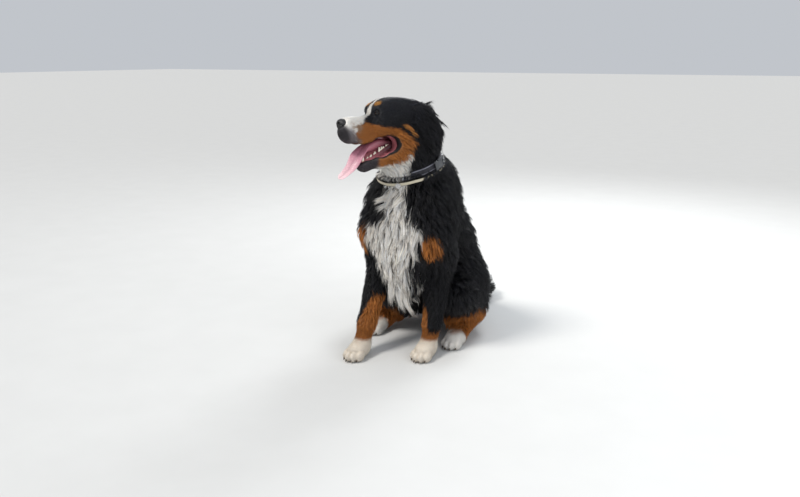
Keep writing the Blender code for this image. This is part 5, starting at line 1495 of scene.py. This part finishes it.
def band_material():
    p = Paint("pale_band")
    uv = p.node("ShaderNodeUVMap", uv_map="Weave").outputs["UV"]
    xyz = p.node("ShaderNodeSeparateXYZ", {"Vector": uv})
    g = p.noise(700.0, 5.0)
    wear = p.noise(60.0, 3.0)
    edge = p.math("GREATER_THAN", p.math("ABSOLUTE", xyz.outputs["Y"]), BAND_WIDTH * 0.40)
    base = p.mix(wear, (0.60, 0.55, 0.42, 1), (0.42, 0.37, 0.27, 1))
    p.link(p.mix(p.math("MULTIPLY", edge, 0.5), base, (0.26, 0.22, 0.16, 1)), "Base Color")
    p.bump(g, 0.35, 0.0004)
    p.set(Roughness=0.48, Specular_IOR_Level=0.45)
    return p.m


Vs, Fs, uvs_ = ribbon(strap_loop, STRAP_WIDTH, STRAP_THICK, 260, 0.0009)
strap = mesh_of("strap", Vs, Fs, uv={"Weave": uvs_})
worn(strap, "nylon_strap", strap_material())
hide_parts("collar_strap")
Vb, Fb, uvb = ribbon(band_loop, BAND_WIDTH, BAND_THICK, 260, 0.0006)
band = mesh_of("band", Vb, Fb, uv={"Weave": uvb})
worn(band, "cream_band", band_material())
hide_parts("collar_band")


def plastic_material():
    p = Paint("buckle_plastic")
    g = p.noise(900.0, 3.0)
    w = p.noise(90.0, 4.0)
    p.link(p.mix(w, (0.048, 0.050, 0.054, 1), (0.085, 0.088, 0.094, 1)), "Base Color")
    p.bump(g, 0.22, 0.0003)
    p.set(Roughness=0.40, Specular_IOR_Level=0.5)
    return p.m


def steel_material():
    p = Paint("worn_steel")
    g = p.noise(240.0, 5.0)
    p.link(p.mix(g, (0.40, 0.40, 0.41, 1), (0.62, 0.61, 0.60, 1)), "Base Color")
    p.link(p.node("ShaderNodeMapRange", {"Value": g, "From Min": 0.3, "From Max": 0.7, "To Min": 0.18, "To Max": 0.38}).outputs["Result"], "Roughness")
    p.bump(p.noise(1600.0, 2.0), 0.12, 0.0002)
    p.set(Metallic=1.0)
    return p.m


STEEL, PLASTIC = steel_material(), plastic_material()
# side-release buckle: a sleeve, a fork whose two arms show in its side windows, and a bar at each end for the strap
hx, hy, hz = BUCKLE_SIZE[0] / 2, BUCKLE_SIZE[1] / 2, BUCKLE_SIZE[2] / 2
E = np.eye(3)
shapes = [(Block((-0.0045, 0, 0), (0.0115, hy - 0.0045, 0.0030), 0.0020, E), 0.002),
          (Block((-0.0045, 0, 0.0022), (0.0085, hy - 0.0105, 0.0014), 0.0016, E), 0.002),
          (Block((0.0140, 0, 0), (0.0060, hy - 0.0030, 0.0028), 0.0018, E), 0.001),
          (Block((0.0055, hy - 0.0022, 0), (0.0085, 0.0008, 0.0020), 0.0014, E), 0.001),
          (Block((0.0055, -hy + 0.0022, 0), (0.0085, 0.0008, 0.0020), 0.0014, E), 0.001),
          (Block((-0.0190, 0, -0.0006), (0.0014, hy - 0.0020, 0.0014), 0.0012, E), 0.002),
          (Block((-0.0165, hy - 0.0026, -0.0006), (0.0036, 0.0008, 0.0014), 0.0014, E), 0.002),
          (Block((-0.0165, -hy + 0.0026, -0.0006), (0.0036, 0.0008, 0.0014), 0.0014, E), 0.002)]
cuts = [(Block((0.0076, 0, 0.0), (0.00025, hy, 0.008), 0.0003, E), 0.0006),
        (Block((0.0160, 0, 0.0), (0.0016, hy - 0.0065, 0.008), 0.0005, E), 0.0008),
        (Block((-0.0045, hy - 0.0044, 0.0), (0.0080, 0.0002, 0.008), 0.0005, E), 0.0008),
        (Block((-0.0045, -hy + 0.0044, 0.0), (0.0080, 0.0002, 0.008), 0.0005, E), 0.0008)]
Vk, Fk = solid(shapes, cuts, 0.00055)
R = strap_loop.frame(BUCKLE_ANGLE)
Vk = strap_loop.over(BUCKLE_ANGLE, STRAP_THICK + GAP + 0.003 + hz, BUCKLE_RISE) + Vk @ R.T
buckle = mesh_of("buckle", Vk, Fk if np.linalg.det(R) > 0 else Fk[:, ::-1])
worn(buckle, "buckle_plastic", PLASTIC)
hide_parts("collar_buckle")

R = strap_loop.frame(RING_ANGLE)
at = strap_loop.over(RING_ANGLE, STRAP_THICK + 0.0022 + 0.003)
a = np.arange(72) * 2 * pi / 72
pts = at + (R[:, 0] * np.cos(a)[:, None] + R[:, 1] * np.sin(a)[:, None]) * RING_RADIUS
ring_parts = [tube(pts, RING_WIRE, 16, up=R[:, 2], closed=True)]
a = np.arange(36) * 2 * pi / 36
keeper = at + R[:, 0] * 0 - R[:, 0] * (RING_RADIUS) + (R[:, 1] * 0.0)[None] + (R[:, 0] * (0.0032 * np.cos(a))[:, None] + R[:, 2] * (0.0040 * np.sin(a))[:, None])
ring_parts.append(tube(keeper, 0.0008, 10, up=R[:, 1], closed=True))
Vr, Fr = together(ring_parts)
ringo = mesh_of("ring", Vr, Fr)
worn(ringo, "steel", STEEL)
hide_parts("collar_ring")

R = band_loop.frame(TAG_ANGLE)
at = band_loop.over(TAG_ANGLE, BAND_THICK + 0.0016 + 0.0012, -0.004)
disc = [(Block((0, 0, 0), (0.0001, 0.0001, 0.0001), 0.0001, E), 0.0001)]
prof = [(0.0, 0.00050), (0.0078, 0.00050), (0.0083, 0.00080), (0.0091, 0.00080), (0.0095, 0.00045), (0.0095, -0.00045), (0.0091, -0.00080), (0.0, -0.00080)]
n = 64
a = np.arange(n) * 2 * pi / n
Vd, Fd = [], []
for r, h in prof[1:-1]:
    Vd.append(np.stack([r * np.cos(a), r * np.sin(a), np.full(n, h)], 1))
Vd = np.concatenate(Vd + [[(0, 0, prof[0][1])], [(0, 0, prof[-1][1])]])
rows = len(prof) - 2
for i in range(rows - 1):
    for k in range(n):
        k2 = (k + 1) % n
        Fd += [(i * n + k, (i + 1) * n + k, (i + 1) * n + k2), (i * n + k, (i + 1) * n + k2, i * n + k2)]
for k in range(n):
    k2 = (k + 1) % n
    Fd += [(rows * n, k, k2), (rows * n + 1, (rows - 1) * n + k2, (rows - 1) * n + k)]
a = np.arange(30) * 2 * pi / 30
loop_pts = np.stack([np.zeros(30), 0.0090 + 0.0030 * np.cos(a), -0.0016 + 0.0024 * np.sin(a)], 1)
Vd, Fd = together([(Vd, np.array(Fd)), tube(loop_pts, 0.0006, 8, up=(1, 0, 0), closed=True)])
tag = mesh_of("tag", at + Vd @ R.T, Fd if np.linalg.det(R) > 0 else Fd[:, ::-1])
worn(tag, "steel", STEEL)
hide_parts("collar_tag")

# ---- floor, light and camera ---------------------------------------------
bm = bmesh.new()
bmesh.ops.create_grid(bm, x_segments=2, y_segments=2, size=40.0)
m = bpy.data.meshes.new("floor")
bm.to_mesh(m)
bm.free()
ground = bpy.data.objects.new("floor", m)
bpy.context.scene.collection.objects.link(ground)
p = Paint("floor")
g = p.noise(6.0, 3.0)
p.link(p.mix(g, (0.60, 0.60, 0.59, 1), (0.64, 0.64, 0.63, 1)), "Base Color")
p.set(Roughness=0.85)
m.materials.append(p.m)

world = bpy.data.worlds.new("studio")
bpy.context.scene.world = world
world.use_nodes = True
world.node_tree.nodes["Background"].inputs["Color"].default_value = (0.86, 0.90, 0.96, 1)
world.node_tree.nodes["Background"].inputs["Strength"].default_value = 0.62

AZ = radians(28.0)
FORWARD = np.array([-sin(AZ), cos(AZ), 0.0])
RIGHT = np.array([cos(AZ), sin(AZ), 0.0])
EYEPOINT = -FORWARD * 2.6 - RIGHT * 0.02 + np.array([0, 0, 1.0]) + SHIFT


def lamp(name, at, aim, size, power, colour=(1, 1, 1)):
    d = bpy.data.lights.new(name, "AREA")
    d.shape, d.size, d.energy, d.color = "DISK", size, power, colour
    o = bpy.data.objects.new(name, d)
    bpy.context.scene.collection.objects.link(o)
    o.location = Vector(at)
    o.rotation_euler = (Vector(aim) - Vector(at)).to_track_quat("-Z", "Y").to_euler()
    return o


aim = np.array([0.0, 0.0, 0.5])
sun = bpy.data.lights.new("key", "SUN")
sun.energy, sun.angle, sun.color = 2.3, radians(16), (1.0, 0.97, 0.92)
key = bpy.data.objects.new("key", sun)
bpy.context.scene.collection.objects.link(key)
key.rotation_euler = Vector(FORWARD * 0.45 + RIGHT * 0.75 - np.array([0, 0, 1.15])).to_track_quat("-Z", "Y").to_euler()
lamp("fill", aim - FORWARD * 2.2 + RIGHT * 1.6 + np.array([0, 0, 0.9]), aim, 2.2, 26, (0.92, 0.96, 1.0))
lamp("rim", aim + FORWARD * 2.0 + RIGHT * 1.2 + np.array([0, 0, 2.0]), aim, 1.4, 60, (0.95, 0.98, 1.0))

cam = bpy.data.cameras.new("camera")
cam.sensor_fit, cam.sensor_width, cam.lens = "HORIZONTAL", 36.0, 778.0 / 800.0 * 36.0
cam.clip_start, cam.clip_end = 0.05, 60.0
camera = bpy.data.objects.new("camera", cam)
bpy.context.scene.collection.objects.link(camera)
camera.location = Vector(EYEPOINT)
look = FORWARD * cos(radians(14.0)) - np.array([0, 0, 1.0]) * sin(radians(14.0))
camera.rotation_euler = Vector(look).to_track_quat("-Z", "Y").to_euler()
bpy.context.scene.camera = camera
bpy.context.scene.view_settings.view_transform = "Standard"
